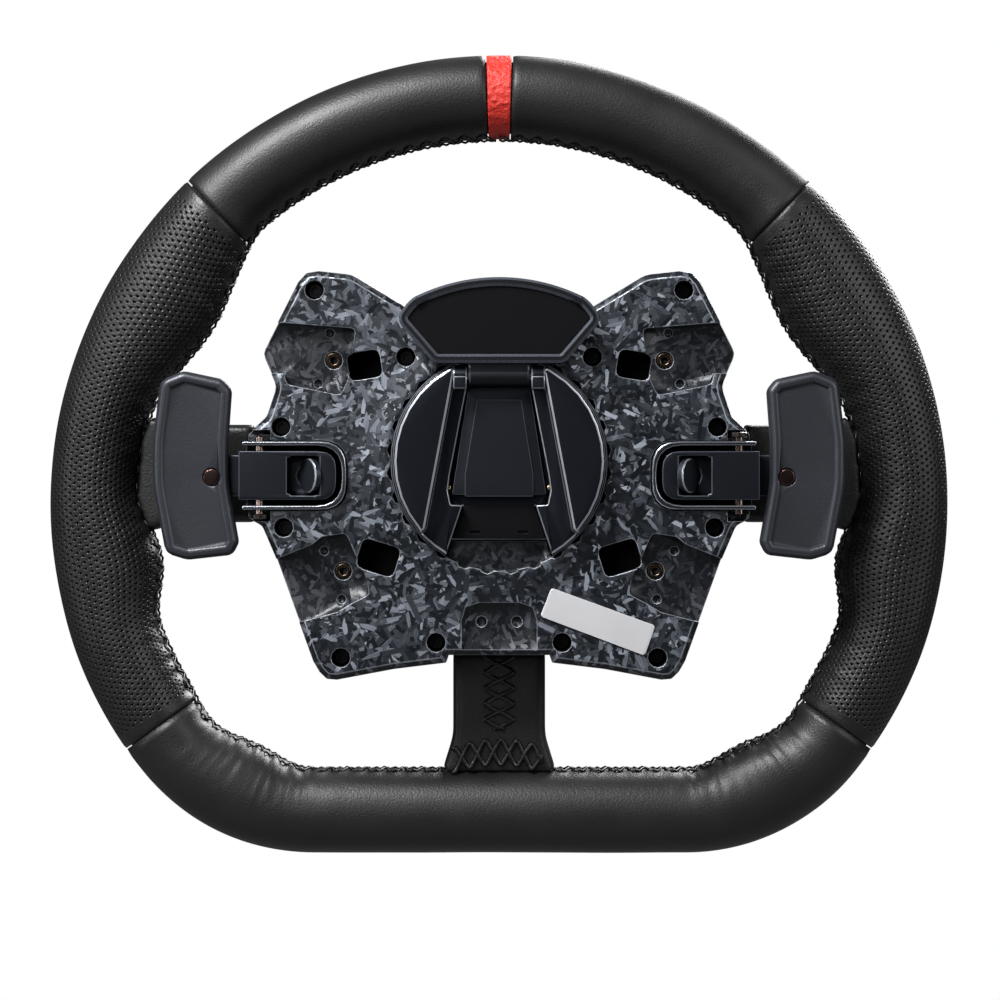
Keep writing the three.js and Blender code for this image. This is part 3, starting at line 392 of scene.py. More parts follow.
for label, side in (("left", -1), ("right", 1)):
    angles = rim_angles(90 - band_half_angle - joint, grip_top + joint, station_gap)
    bm = tube_bmesh([rim_place(angle, side) for angle in angles], angles, tube_sides, 0.0003)
    new_piece(f"top_leather_{label}", bm, smooth_leather, replaced=(f"leather_top_{label}",))

band_edge = 90 - band_half_angle + joint
band_half = [band_edge + t * (90 - band_edge) for t in (0, 0.06, 0.2, 0.4, 0.6, 0.8, 1.0)]
band_angles = band_half + band_half[-2::-1]
band_places = [rim_place(angle, -1) for angle in band_half] + [rim_place(angle, 1) for angle in band_half[-2::-1]]
new_piece("red_band", tube_bmesh(band_places, band_angles, tube_sides, 0.0), red_leather,
          replaced=("centre_band",))


def flat_places(count):
    """The places between the two ends of the flat bottom, from right to left."""
    edge, out, thickness, depth = rim_place(-90)
    return [(Vector((edge.x * (1 - 2 * i / count), edge.y)), out, thickness, depth) for i in range(1, count)]


bottom_right = rim_angles(grip_end - joint, -90, station_gap)
flat_count = round(corner_centre.x * 2 / flat_gap)
bottom_places = [rim_place(angle) for angle in bottom_right] + flat_places(flat_count)
bottom_places += [rim_place(angle, -1) for angle in reversed(bottom_right)]
flat_angles = [-90 - 0.9 * i for i in range(1, flat_count)]
bottom_angles = bottom_right + flat_angles + [flat_angles[-1] - 90 - angle for angle in reversed(bottom_right)]
new_piece("bottom_leather", tube_bmesh(bottom_places, bottom_angles, tube_sides, 0.0011), smooth_leather,
          replaced=("leather_bottom",))


# ---- Perforated grips ----
# The same leather punched with staggered rows of small round holes before it is sewn on. The rows stop short of the
# joints and of the seam.

hole_row = 0.00188
hole_step = 0.00125
hole_depth = 0.0011
hole_edge = 0.00018
hole_radius = 0.00046
grip_half_thickness = 0.0158
plain_rows, plain_seam = 4, 0.42

for label, side in (("left", -1), ("right", 1)):
    angles = rim_angles(grip_top - joint, grip_end + joint, hole_step)
    places = [rim_place(angle, side) for angle in angles]
    around = 2 * round(math.pi * grip_half_thickness / hole_row)
    bm = tube_bmesh(places, angles, around, 0.0006)
    hole_mark = bm.faces.layers.float.new("hole")
    bm.faces.ensure_lookup_table()
    rows = len(angles) - 1
    first = 2 * around  # the rolled end has two rings of faces
    punched = []
    for row in range(plain_rows, rows - plain_rows):
        for face in bm.faces[first + row * around:first + (row + 1) * around]:
            centre = face.calc_center_median()
            edge, out, thickness, depth = places[row]
            middle = edge - out * (thickness / 2)
            across = (Vector((centre.x, centre.z)) - middle).dot(out)
            turn = math.atan2((centre.y - rim_plane_y) / depth, across / thickness) % (2 * math.pi)
            column = round(turn / (2 * math.pi) * around - 0.5)
            if (row + column) % 2 == 0 and abs(turn - math.pi) > plain_seam:
                punched.append(face)
    bmesh.ops.inset_individual(bm, faces=punched, thickness=hole_edge, depth=0, use_even_offset=True)
    bmesh.ops.bisect_edges(bm, edges=list({edge for face in punched for edge in face.edges}), cuts=1)
    for face in punched:
        centre = face.calc_center_median()
        for vert in face.verts:
            vert.co = centre + (vert.co - centre).normalized() * hole_radius
    bmesh.ops.inset_individual(bm, faces=punched, thickness=0.00005, depth=-hole_depth, use_even_offset=False)
    # The walls and floors of the holes are marked for their painted shade.
    for face in punched:
        for vert in face.verts:
            for wall in vert.link_faces:
                wall[hole_mark] = 1.0
    new_piece(f"grip_{label}", bm, perforated_leather,
              replaced=(f"leather_grip_{label}",))


# ---- Spoke leather ----
# A flat sleeve of grained leather, pulled over each arm and glued, with soft rounded edges. It flares out where it
# meets the rim.

def soft_copy(name, node, voxel, rounds, material, body="wheel"):
    """The CAD node's shape, remeshed evenly and smoothed until its edges are as soft as leather's."""
    mesh = nodes[node].data.copy()
    piece = bpy.data.objects.new(name, mesh)
    scene.collection.objects.link(piece)
    remesh = piece.modifiers.new("even", "REMESH")
    remesh.mode = "VOXEL"
    remesh.voxel_size = voxel
    soften = piece.modifiers.new("soften", "SMOOTH")
    soften.iterations = rounds
    soften.factor = 0.5
    evaluated = piece.evaluated_get(bpy.context.evaluated_depsgraph_get())
    done = bpy.data.meshes.new_from_object(evaluated)
    piece.modifiers.clear()
    piece.data = done
    done.materials.clear()
    done.materials.append(material)
    done.shade_smooth()
    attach(piece, body)
    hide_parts(node)
    return piece


sleeve_voxel, sleeve_rounds = 0.0008, 14
for label in ("left", "right"):
    soft_copy(f"spoke_sleeve_{label}", f"spoke_leather_{label}", sleeve_voxel, sleeve_rounds, perforated_leather)
soft_copy("spoke_sleeve_bottom", "spoke_leather_bottom", sleeve_voxel, sleeve_rounds, smooth_leather)


# ---- Frame and foam inside ----
# The rim's frame is a cast aluminium ring and plate. Only a little of it shows, through the windows of the housing,
# and it is painted near black, as the shade inside them. Grey self-skinning foam is moulded round the ring,
# under the leather.

def coarse_surface(name, dark, light, roughness, scale, bump):
    """A matt surface with one noise for its relief and its patches of tone."""
    material = bpy.data.materials.new(name)
    material.use_nodes = True
    tree = material.node_tree
    shader = tree.nodes["Principled BSDF"]
    shader.inputs["Roughness"].default_value = roughness
    relief = noise_of(tree, scale)
    tree.links.new(mix_colour(tree, relief, dark, light), shader.inputs["Base Color"])
    tree.links.new(bump_from(tree, relief, bump, 0.0002), shader.inputs["Normal"])
    return material


def cad_bmesh(node):
    """The CAD node's shape, with the corners that its faces share merged."""
    bm = bmesh.new()
    bm.from_mesh(nodes[node].data)
    bmesh.ops.remove_doubles(bm, verts=bm.verts, dist=2e-6)
    return bm


foam_grey = coarse_surface("foam_grey", (0.05, 0.05, 0.055), (0.08, 0.08, 0.085), 0.85, 1400, 0.6)
soft_copy("moulded_foam", "rim_foam", 0.0020, 4, foam_grey)
# Painted shade: the frame is near black, as the shade seen through the windows of the housing.
frame_painted_shade = coarse_surface("frame_painted_shade", (0.005, 0.005, 0.006), (0.007, 0.007, 0.008), 0.7, 900, 0.3)
cast_frame = new_piece("cast_frame", cad_bmesh("rim_skeleton"), frame_painted_shade,
                       replaced=("rim_skeleton",))
cast_frame.data.set_sharp_from_angle(angle=math.radians(30))


# ---- Thread ----
# Waxed black polyester thread in a lacing of crosses. It runs round the whole inside of the rim over the seam.
# A thicker one runs down the bottom spoke and across that spoke's foot.

thread_material = bpy.data.materials.new("waxed_thread")
thread_material.use_nodes = True
thread_tree = thread_material.node_tree
thread_shader = thread_tree.nodes["Principled BSDF"]
thread_shader.inputs["Base Color"].default_value = (0.0025, 0.0025, 0.0025, 1)
thread_shader.inputs["Roughness"].default_value = 0.40
thread_shader.inputs["Specular IOR Level"].default_value = 0.5
twisted = bump_from(thread_tree, noise_of(thread_tree, 2200), 0.5, 0.0003)
thread_tree.links.new(twisted, thread_shader.inputs["Normal"])
thread_radius = 0.00043


def lay_thread(bm, points, radius=thread_radius, sides=6):
    """A round section extruded from point to point and closed at both ends."""
    ring = bmesh.ops.create_circle(bm, segments=sides, radius=radius)["verts"]
    edges = list({edge for vert in ring for edge in vert.link_edges})
    heading = (points[1] - points[0]).normalized()
    turn = Vector((0, 0, 1)).rotation_difference(heading)
    bmesh.ops.transform(bm, matrix=Matrix.Translation(points[0]) @ turn.to_matrix().to_4x4(), verts=ring)
    bmesh.ops.contextual_create(bm, geom=edges)
    for i in range(1, len(points)):
        ahead = points[min(i + 1, len(points) - 1)] - points[i - 1]
        ahead.normalize()
        made = bmesh.ops.extrude_edge_only(bm, edges=edges)["geom"]
        ring = [g for g in made if isinstance(g, bmesh.types.BMVert)]
        edges = [g for g in made if isinstance(g, bmesh.types.BMEdge)]
        swing = heading.rotation_difference(ahead).to_matrix()
        bmesh.ops.rotate(bm, verts=ring, cent=points[i - 1], matrix=swing)
        bmesh.ops.translate(bm, verts=ring, vec=points[i] - points[i - 1])
        heading = ahead
    bmesh.ops.contextual_create(bm, geom=edges)


def lacing(surface, length, pitch, half_width, run, phase=0, stand=0.0):
    """One of the two threads of a lacing: a short run along the seam, a crossing, a run on the other side."""
    points = []
    count = round(length / pitch)
    pitch = length / count
    for i in range(count):
        side = 1 if (i + phase) % 2 == 0 else -1
        crossing = 1 - run
        for t, across, lift in (
            (0.0, 1.0, -0.25), (run * 0.5, 1.06, 0.7), (run, 1.0, -0.2),
            (run + crossing * 0.33, 0.36, 0.45), (run + crossing * 0.66, -0.36, 0.45 + 0.35 * phase),
        ):
            raised = stand + lift * thread_radius * 1.4
            points.append(surface((i + t) * pitch, side * across * half_width, raised))
    return points


sample_gap, flat_samples = 0.0004, 200
seam_half_width, seam_reach = 0.0036, 0.0155
half_way = rim_angles(90, -90, sample_gap)
seam_places = [rim_place(angle) for angle in half_way] + flat_places(flat_samples)
seam_places += [rim_place(angle, -1) for angle in reversed(half_way)]
distances = [0.0]
for a, b in zip(seam_places, seam_places[1:]):
    distances.append(distances[-1] + (on_tube(b, math.pi) - on_tube(a, math.pi)).length)


def on_seam(distance, across, lift):
    """A point over the rim's inner seam, this far along it from the top and this far to one side."""
    nearest = bisect.bisect_right(distances, distance % distances[-1]) - 1
    return on_tube(seam_places[nearest], math.pi + across / seam_reach, lift + 0.0001)


rim_thread = bmesh.new()
for phase in (0, 1):
    lay_thread(rim_thread, lacing(on_seam, distances[-1], stitch_pitch, seam_half_width, 0.42, phase))
new_piece("rim_thread", rim_thread, thread_material)

spoke_low, spoke_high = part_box("spoke_leather_bottom")
spoke_face = spoke_low.y - 0.00005
column_top, column_length, column_half = 0.0015, 0.0275, 0.0048
foot_half, foot_height, foot_droop, foot_width = 0.0165, 0.0075, 0.0030, 0.0040
spoke_thread_radius, spoke_stand = 0.00085, 0.0003


def on_spoke(distance, across, lift):
    """A point down the middle of the bottom spoke's back."""
    return Vector((across, spoke_face - lift, spoke_high.z - column_top - distance))


def on_foot(distance, across, lift):
    """A point along the spoke's foot, where the lacing droops to both sides."""
    x = -foot_half + distance
    droop = foot_droop * (x / foot_half) ** 2
    return Vector((x, spoke_face - lift - 0.0004, spoke_low.z + foot_height + across - droop))


spoke_thread = bmesh.new()
for phase in (0, 1):
    down = lacing(on_spoke, column_length, 0.0055, column_half, 0.16, phase, spoke_stand)
    lay_thread(spoke_thread, down, spoke_thread_radius)
    across_foot = lacing(on_foot, foot_half * 2, 0.0056, foot_width, 0.22, phase, spoke_stand)
    lay_thread(spoke_thread, across_foot, spoke_thread_radius)
new_piece("spoke_thread", spoke_thread, thread_material)


# ---- Housing ----
# A tray of forged composite at the back: chopped carbon tape pressed in a hot mould under a clear resin, so flat
# shards lie at every angle. The cover on the driver's side is textured plastic. Every edge has a small chamfer.

def machined(name, node, material, body="wheel", chamfer=0.0004, crease=28):
    """The CAD node's shape with its outer edges chamfered."""
    return chamfered(name, cad_bmesh(node), material, body, chamfer, crease, (node,))


def chamfered(name, bm, material, body, chamfer, crease, replaced):
    """A hard piece with its outer edges chamfered. The chamfers carry 1 in the "edge" attribute."""
    bmesh.ops.dissolve_limit(bm, angle_limit=math.radians(0.6), verts=bm.verts, edges=bm.edges)
    bmesh.ops.triangulate(bm, faces=[face for face in bm.faces if len(face.verts) > 4])
    mark = bm.faces.layers.float.new("edge")
    sharp = [edge for edge in bm.edges
             if edge.is_manifold and edge.calc_face_angle_signed(0) > math.radians(crease)]
    made = bmesh.ops.bevel(bm, geom=sharp, offset=chamfer, offset_type="OFFSET", segments=1, profile=0.5,
                           affect="EDGES", material=-1, clamp_overlap=False, loop_slide=False)
    for face in made["faces"]:
        face[mark] = 1.0
    piece = new_piece(name, bm, material, body, replaced)
    piece.data.set_sharp_from_angle(angle=math.radians(38))
    even = piece.modifiers.new("even_light", "WEIGHTED_NORMAL")
    even.keep_sharp = True
    return piece


# Flakes: five layers of shards, each turned its own way. The shard with the highest rank is on top.
flake_tree, flake_in, flake_out = group(
    "forged_flakes", {"Length": 0.0050, "Width": 0.0015, "Tilt": 0.42},
    {"Tone": "NodeSocketFloat", "Normal": "NodeSocketVector", "Fibre": "NodeSocketFloat"},
)
flake_place = flake_tree.nodes.new("ShaderNodeTexCoord")
flake_warp = flake_tree.nodes.new("ShaderNodeTexNoise")
flake_warp.inputs["Scale"].default_value = 90
flake_tree.links.new(flake_place.outputs["Object"], flake_warp.inputs["Vector"])
flake_bend = flake_tree.nodes.new("ShaderNodeVectorMath")
flake_bend.operation = "MULTIPLY_ADD"
flake_bend.inputs[1].default_value = (0.0006, 0.0006, 0.0006)
flake_tree.links.new(flake_warp.outputs["Color"], flake_bend.inputs[0])
flake_tree.links.new(flake_place.outputs["Object"], flake_bend.inputs[2])
flake_scale = flake_tree.nodes.new("ShaderNodeCombineXYZ")
flake_tree.links.new(math_node(flake_tree, "DIVIDE", 1.0, flake_in.outputs["Length"]), flake_scale.inputs["X"])
flake_tree.links.new(math_node(flake_tree, "DIVIDE", 1.0, flake_in.outputs["Width"]), flake_scale.inputs["Z"])
flake_scale.inputs["Y"].default_value = 120
top_rank, top_tone, top_side, top_fibre = None, None, None, None
for number, turned in enumerate((12, 50, 83, 118, 155)):
    spin = flake_tree.nodes.new("ShaderNodeVectorRotate")
    spin.rotation_type = "Y_AXIS"
    spin.inputs["Center"].default_value = (0.31 * number, 0, 0.17)
    spin.inputs["Angle"].default_value = math.radians(turned)
    flake_tree.links.new(flake_bend.outputs[0], spin.inputs["Vector"])
    stretch = flake_tree.nodes.new("ShaderNodeVectorMath")
    stretch.operation = "MULTIPLY"
    flake_tree.links.new(spin.outputs["Vector"], stretch.inputs[0])
    flake_tree.links.new(flake_scale.outputs[0], stretch.inputs[1])
    shards = flake_tree.nodes.new("ShaderNodeTexVoronoi")
    shards.distance = "CHEBYCHEV"
    shards.inputs["Scale"].default_value = 1.0
    shards.inputs["Randomness"].default_value = 0.85
    flake_tree.links.new(stretch.outputs[0], shards.inputs["Vector"])
    drawn = flake_tree.nodes.new("ShaderNodeSeparateColor")
    flake_tree.links.new(shards.outputs["Color"], drawn.inputs["Color"])
    fibres = flake_tree.nodes.new("ShaderNodeTexNoise")
    fibres.inputs["Scale"].default_value = 9
    fibres.inputs["Detail"].default_value = 2
    along = flake_tree.nodes.new("ShaderNodeVectorMath")
    along.operation = "MULTIPLY"
    along.inputs[1].default_value = (0.12, 1.0, 1.0)
    flake_tree.links.new(stretch.outputs[0], along.inputs[0])
    flake_tree.links.new(along.outputs[0], fibres.inputs["Vector"])
    rank, tone, side = drawn.outputs["Red"], drawn.outputs["Green"], drawn.outputs["Blue"]
    fibre = fibres.outputs["Fac"]
    if top_rank is None:
        top_rank, top_tone, top_side, top_fibre = rank, tone, side, fibre
        continue
    above = math_node(flake_tree, "GREATER_THAN", rank, top_rank)
    picked = []
    for old, new in ((top_tone, tone), (top_side, side), (top_fibre, fibre)):
        pick = flake_tree.nodes.new("ShaderNodeMix")
        flake_tree.links.new(above, pick.inputs["Factor"])
        flake_tree.links.new(old, pick.inputs["A"])
        flake_tree.links.new(new, pick.inputs["B"])
        picked.append(pick.outputs["Result"])
    top_tone, top_side, top_fibre = picked
    top_rank = math_node(flake_tree, "MAXIMUM", rank, top_rank)
lean = flake_tree.nodes.new("ShaderNodeCombineXYZ")
flake_tree.links.new(math_node(flake_tree, "SUBTRACT", top_tone, 0.5), lean.inputs["X"])
flake_tree.links.new(math_node(flake_tree, "SUBTRACT", top_side, 0.5), lean.inputs["Z"])
lean_scaled = flake_tree.nodes.new("ShaderNodeVectorMath")
lean_scaled.operation = "SCALE"
flake_tree.links.new(lean.outputs[0], lean_scaled.inputs[0])
flake_tree.links.new(flake_in.outputs["Tilt"], lean_scaled.inputs["Scale"])
flat = flake_tree.nodes.new("ShaderNodeNewGeometry")
leaning = flake_tree.nodes.new("ShaderNodeVectorMath")
flake_tree.links.new(flat.outputs["Normal"], leaning.inputs[0])
flake_tree.links.new(lean_scaled.outputs[0], leaning.inputs[1])
upright = flake_tree.nodes.new("ShaderNodeVectorMath")
upright.operation = "NORMALIZE"
flake_tree.links.new(leaning.outputs[0], upright.inputs[0])
flake_tree.links.new(math_node(flake_tree, "MULTIPLY", top_tone, top_side), flake_out.inputs["Tone"])
flake_tree.links.new(upright.outputs[0], flake_out.inputs["Normal"])
flake_tree.links.new(top_fibre, flake_out.inputs["Fibre"])

# Bright edges: one uneven mask on the chamfers, for colour that is partly wear, partly a painted highlight.
edge_wear_glint_tree, edge_wear_glint_in, edge_wear_glint_out = group("edge_wear_and_glint", {"Amount": 1.0}, {"Mask": "NodeSocketFloat"})
edge_wear_glint_mark = edge_wear_glint_tree.nodes.new("ShaderNodeAttribute")
edge_wear_glint_mark.attribute_name = "edge"
edge_wear_glint_spread = math_node(edge_wear_glint_tree, "MULTIPLY_ADD", noise_of(edge_wear_glint_tree, 160, 3), 0.5, 0.6)
edge_wear_glint_mask = math_node(edge_wear_glint_tree, "MULTIPLY", edge_wear_glint_mark.outputs["Fac"], edge_wear_glint_spread)
edge_wear_glint_scaled = math_node(edge_wear_glint_tree, "MULTIPLY", edge_wear_glint_mask, edge_wear_glint_in.outputs["Amount"])
edge_wear_glint_tree.links.new(edge_wear_glint_scaled, edge_wear_glint_out.inputs["Mask"])

composite = bpy.data.materials.new("forged_composite")
composite.use_nodes = True
tree = composite.node_tree
shader = tree.nodes["Principled BSDF"]
flakes = tree.nodes.new("ShaderNodeGroup")
flakes.node_tree = flake_tree
edges = tree.nodes.new("ShaderNodeGroup")
edges.node_tree = edge_wear_glint_tree
tone_curve = tree.nodes.new("ShaderNodeValToRGB")
ramp = tone_curve.color_ramp
ramp.elements[0].position, ramp.elements[0].color = 0.0, (0.006, 0.008, 0.011, 1)
ramp.elements[1].position, ramp.elements[1].color = 0.82, (0.25, 0.275, 0.32, 1)
middle_tone = ramp.elements.new(0.36)
middle_tone.color = (0.026, 0.031, 0.041, 1)
darkened = math_node(tree, "SUBTRACT", flakes.outputs["Tone"], 0.18)
streaked = math_node(tree, "MULTIPLY_ADD", flakes.outputs["Fibre"], 0.40, darkened)
tree.links.new(streaked, tone_curve.inputs["Fac"])
# Painted shade: the deeper a face lies, from 4.3 mm to 6.2 mm in, the darker it is painted, so the floors of the
# recesses look shaded.
depth_place = tree.nodes.new("ShaderNodeTexCoord")
depth_axes = tree.nodes.new("ShaderNodeSeparateXYZ")
tree.links.new(depth_place.outputs["Object"], depth_axes.inputs["Vector"])
recess_shade_ramp = tree.nodes.new("ShaderNodeMapRange")
recess_from, recess_full = 0.0043, 0.0062
recess_shade_ramp.inputs["From Min"].default_value = recess_from
recess_shade_ramp.inputs["From Max"].default_value = recess_full
tree.links.new(depth_axes.outputs["Y"], recess_shade_ramp.inputs["Value"])
recess_painted_shade = math_node(tree, "MULTIPLY", recess_shade_ramp.outputs["Result"], 0.84)
shaded = mix_colour(tree, recess_painted_shade, tone_curve.outputs["Color"], (0.006, 0.007, 0.010))
# The chamfers are painted lighter: partly wear, partly a painted highlight.
tree.links.new(mix_colour(tree, edges.outputs["Mask"], shaded, (0.24, 0.26, 0.29)), shader.inputs["Base Color"])
shader.inputs["Metallic"].default_value = 0.55
fibre_sheen = math_node(tree, "MULTIPLY_ADD", flakes.outputs["Fibre"], 0.18, 0.33)
tree.links.new(fibre_sheen, shader.inputs["Roughness"])
shader.inputs["Coat Weight"].default_value = 0.20
shader.inputs["Coat Roughness"].default_value = 0.22
tree.links.new(flakes.outputs["Normal"], shader.inputs["Normal"])

# The scallops round the disc's seat go on down under the open end of its channel.
tray_bm = cad_bmesh("back_shell")
step_y, scallop_floor_y, seat_radius = 0.0048, 0.0075, 0.0385
for vert in tray_bm.verts:
    if abs(vert.co.y - step_y) < 2e-5 and math.hypot(vert.co.x, vert.co.z) < seat_radius:
        vert.co.y = scallop_floor_y
bmesh.ops.remove_doubles(tray_bm, verts=tray_bm.verts, dist=2e-5)
chamfered("housing_tray", tray_bm, composite, "wheel", 0.00028, 28, ("back_shell",))


def finish_material(name, base, edge_colour, roughness, metallic, texture=1500, bump=0.15, edge_amount=1.0,
                    coat=0.0, specular=0.5):
    """A sprayed, anodised or moulded surface: fine texture, a slow change of sheen, and bright chamfers: wear and
    painted highlight.
    """
    material = bpy.data.materials.new(name)
    material.use_nodes = True
    tree = material.node_tree
    shader = tree.nodes["Principled BSDF"]
    fine = noise_of(tree, texture, 4)
    edges = tree.nodes.new("ShaderNodeGroup")
    edges.node_tree = edge_wear_glint_tree
    edges.inputs["Amount"].default_value = edge_amount
    clouded = mix_colour(tree, noise_of(tree, 45), tuple(channel * 0.8 for channel in base), base)
    # The chamfers take the edge colour: partly wear and polish, partly a painted highlight.
    edged = mix_colour(tree, edges.outputs["Mask"], clouded, edge_colour)
    tree.links.new(edged, shader.inputs["Base Color"])
    rough = math_node(tree, "MULTIPLY_ADD", fine, 0.12, roughness - 0.06)
    polished = math_node(tree, "MULTIPLY_ADD", edges.outputs["Mask"], -0.12, rough)
    tree.links.new(polished, shader.inputs["Roughness"])
    shader.inputs["Metallic"].default_value = metallic
    shader.inputs["Coat Weight"].default_value = coat
    shader.inputs["Specular IOR Level"].default_value = specular
    tree.links.new(bump_from(tree, fine, bump, 0.0002), shader.inputs["Normal"])
    return material


shell_plastic = finish_material("textured_black", (0.016, 0.017, 0.019), (0.06, 0.06, 0.065), 0.55, 0.0, 1800,
                                bump=0.3)
machined("housing_cover", "front_shell", shell_plastic, chamfer=0.0003)
board_mask = finish_material("solder_mask", (0.008, 0.05, 0.026), (0.4, 0.35, 0.2), 0.4, 0.0)
machined("controls_board", "circuit_board", board_mask, chamfer=0.0001)
silver_label = finish_material("silver_label", (0.60, 0.60, 0.62), (0.75, 0.75, 0.76), 0.42, 0.25, 2500, 0.1)
machined("blank_label", "label_plate", silver_label, chamfer=0.00012)
smoked_lens = finish_material("smoked_lens", (0.02, 0.02, 0.024), (0.08, 0.08, 0.09), 0.12, 0.0, 400, bump=0.0,
                              coat=0.6)
machined("rev_light_lens", "light_strip", smoked_lens, chamfer=0.0002)
# Painted shade: the inserts' brass is almost black, as the shade in the holes they sit in.
brass_painted_shade = finish_material("brass_painted_shade", (0.022, 0.016, 0.012), (0.13, 0.095, 0.07), 0.40, 1.0)
for end in ("upper", "lower"):
    for label in ("left", "right"):
        machined(f"threaded_insert_{end}_{label}", f"insert_{end}_{label}", brass_painted_shade, chamfer=0.00025)


# ---- Housing screws ----
# Black steel socket-head screws, M3, sunk deep in the counterbores. Six on each side join the two shells.

head_radius, head_height, hex_radius = 0.0027, 0.0030, 0.00145
screw_back_y = 0.0098
screw_places = [
    (0.0630, 0.0586), (0.0318, 0.0358), (0.0744, 0.0119), (0.0735, -0.0224), (0.0540, -0.0668), (0.0215, -0.0616),
]
black_steel = finish_material("black_steel", (0.008, 0.008, 0.009), (0.12, 0.12, 0.13), 0.34, 0.9)


def socket_head(bm, place, radius, height, socket, sides=20):
    """A head seen from the back: a disc drawn out towards +Y, chamfered, with a hexagonal socket."""
    upright = Matrix.Translation(place) @ Matrix.Rotation(math.radians(90), 4, "X")
    ring = bmesh.ops.create_circle(bm, cap_ends=True, segments=sides, radius=radius, matrix=upright)["verts"]
    cap = next(iter(set.intersection(*[set(vert.link_faces) for vert in ring])))
    drawn = bmesh.ops.extrude_face_region(bm, geom=[cap])["geom"]
    bmesh.ops.translate(bm, verts=[g for g in drawn if isinstance(g, bmesh.types.BMVert)], vec=(0, -height, 0))
    top = next(g for g in drawn if isinstance(g, bmesh.types.BMFace))
    bmesh.ops.inset_individual(bm, faces=[top], thickness=radius * 0.14, depth=radius * 0.10)
    bmesh.ops.inset_individual(bm, faces=[top], thickness=radius * 0.86 - socket, depth=0)
    bmesh.ops.inset_individual(bm, faces=[top], thickness=socket * 0.04, depth=-height * 0.5)


screw_bm = bmesh.new()
for x, z in screw_places:
    for side in (-1, 1):
        socket_head(screw_bm, (side * x, screw_back_y + head_height, z), head_radius, head_height, hex_radius)
bmesh.ops.recalc_face_normals(screw_bm, faces=screw_bm.faces)
housing_screws = new_piece("housing_screws", screw_bm, black_steel)
housing_screws.data.set_sharp_from_angle(angle=math.radians(28))


# ---- Quick release ----
# A turned aluminium disc, milled with a dovetail channel between two raised pads and anodised satin black, with
# bright edges. The half-moon lever, its inlay, the clamp plate and the contact block are separate.

hub_black = finish_material("hub_black", (0.009, 0.011, 0.016), (0.46, 0.48, 0.53), 0.42, 0.75, 2200, 0.12,
                            specular=0.3)
machined("quick_release_disc", "hub_disc", hub_black, chamfer=0.00040)
lever_black = finish_material("lever_black", (0.010, 0.012, 0.015), (0.13, 0.14, 0.17), 0.38, 0.6, 2200, 0.12,
                              specular=0.35)
lever_low, lever_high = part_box("release_lever")
inlay_low, inlay_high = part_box("lever_panel")
pin_low, pin_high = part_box("lever_pin")
arc_radius, arc_half, arc_steps = 0.064, math.radians(28), 28
arc_top_z = lever_high.z
wing_x, wing_z = 0.0347, 0.0478
foot_x, foot_z = 0.022, 0.033
wing_round, foot_round = 0.0030, 0.0016
bezel, inlay_gap = 0.0030, 0.0003
lever_thickness = 0.0058
barrel_half, barrel_radius = 0.0105, 0.0033


def lever_outline(bm, y, shrink=0.0):
    """The half-moon, facing the back: an arc spun from one end, two corners each side, and a straight foot."""
    arc_centre = Vector((0, y, arc_top_z - arc_radius))
    start = bm.verts.new(arc_centre + arc_radius * Vector((-math.sin(arc_half), 0, math.cos(arc_half))))
    bmesh.ops.spin(bm, geom=[start], cent=arc_centre, axis=(0, 1, 0), angle=2 * arc_half, steps=arc_steps)
    arc = sorted(bm.verts, key=lambda vert: vert.co.x)
    wings = [bm.verts.new((side * wing_x, y, wing_z)) for side in (1, -1)]
    feet = [bm.verts.new((side * foot_x, y, foot_z)) for side in (1, -1)]
    bm.faces.new([*arc, wings[0], *feet, wings[1]])
    for corners, reach in ((wings, wing_round), (feet, foot_round), ((arc[0], arc[-1]), wing_round)):
        bmesh.ops.bevel(bm, geom=list(corners), offset=reach, offset_type="OFFSET", segments=5, profile=0.5,
                        affect="VERTICES", material=-1)
    face = max(bm.faces, key=lambda one: one.calc_area())
    if face.normal.y > 0:
        bmesh.ops.reverse_faces(bm, faces=[face])
    if shrink:
        bmesh.ops.inset_individual(bm, faces=[face], thickness=shrink, depth=0)
        bmesh.ops.delete(bm, geom=[other for other in bm.faces if other is not face], context="FACES")
        bmesh.ops.delete(bm, geom=[vert for vert in bm.verts if not vert.link_faces], context="VERTS")
    return face


def thicken(bm, face, depth):
    """Closes a flat face into a plate that goes on towards the driver."""
    made = bmesh.ops.extrude_face_region(bm, geom=[face], use_keep_orig=True)["geom"]
    bmesh.ops.translate(bm, verts=[g for g in made if isinstance(g, bmesh.types.BMVert)], vec=(0, depth, 0))
    bmesh.ops.recalc_face_normals(bm, faces=bm.faces)


# The lever is a plate with a pocket for the inlay. A web joins it to the barrel round the pin.
lever_bm = bmesh.new()
thicken(lever_bm, lever_outline(lever_bm, lever_low.y), lever_thickness)
back_face = min(lever_bm.faces, key=lambda face: face.calc_center_median().y)
bmesh.ops.inset_individual(lever_bm, faces=[back_face], thickness=bezel, depth=0)
pocket_depth = inlay_high.y - lever_low.y + inlay_gap
bmesh.ops.inset_individual(lever_bm, faces=[back_face], thickness=0.00005, depth=-pocket_depth)
barrel_y, barrel_z = (pin_low.y + pin_high.y) / 2, (pin_low.z + pin_high.z) / 2
web_low = Vector((-barrel_half, barrel_y - barrel_radius + 0.0003, barrel_z))
web_high = Vector((barrel_half, lever_low.y + lever_thickness, foot_z + 0.0015))
web = bmesh.ops.create_cube(lever_bm, size=1.0)["verts"]
bmesh.ops.scale(lever_bm, verts=web, vec=web_high - web_low)
bmesh.ops.translate(lever_bm, verts=web, vec=(web_low + web_high) / 2)
turned = Matrix.Translation((0, barrel_y, barrel_z)) @ Matrix.Rotation(math.radians(90), 4, "Y")
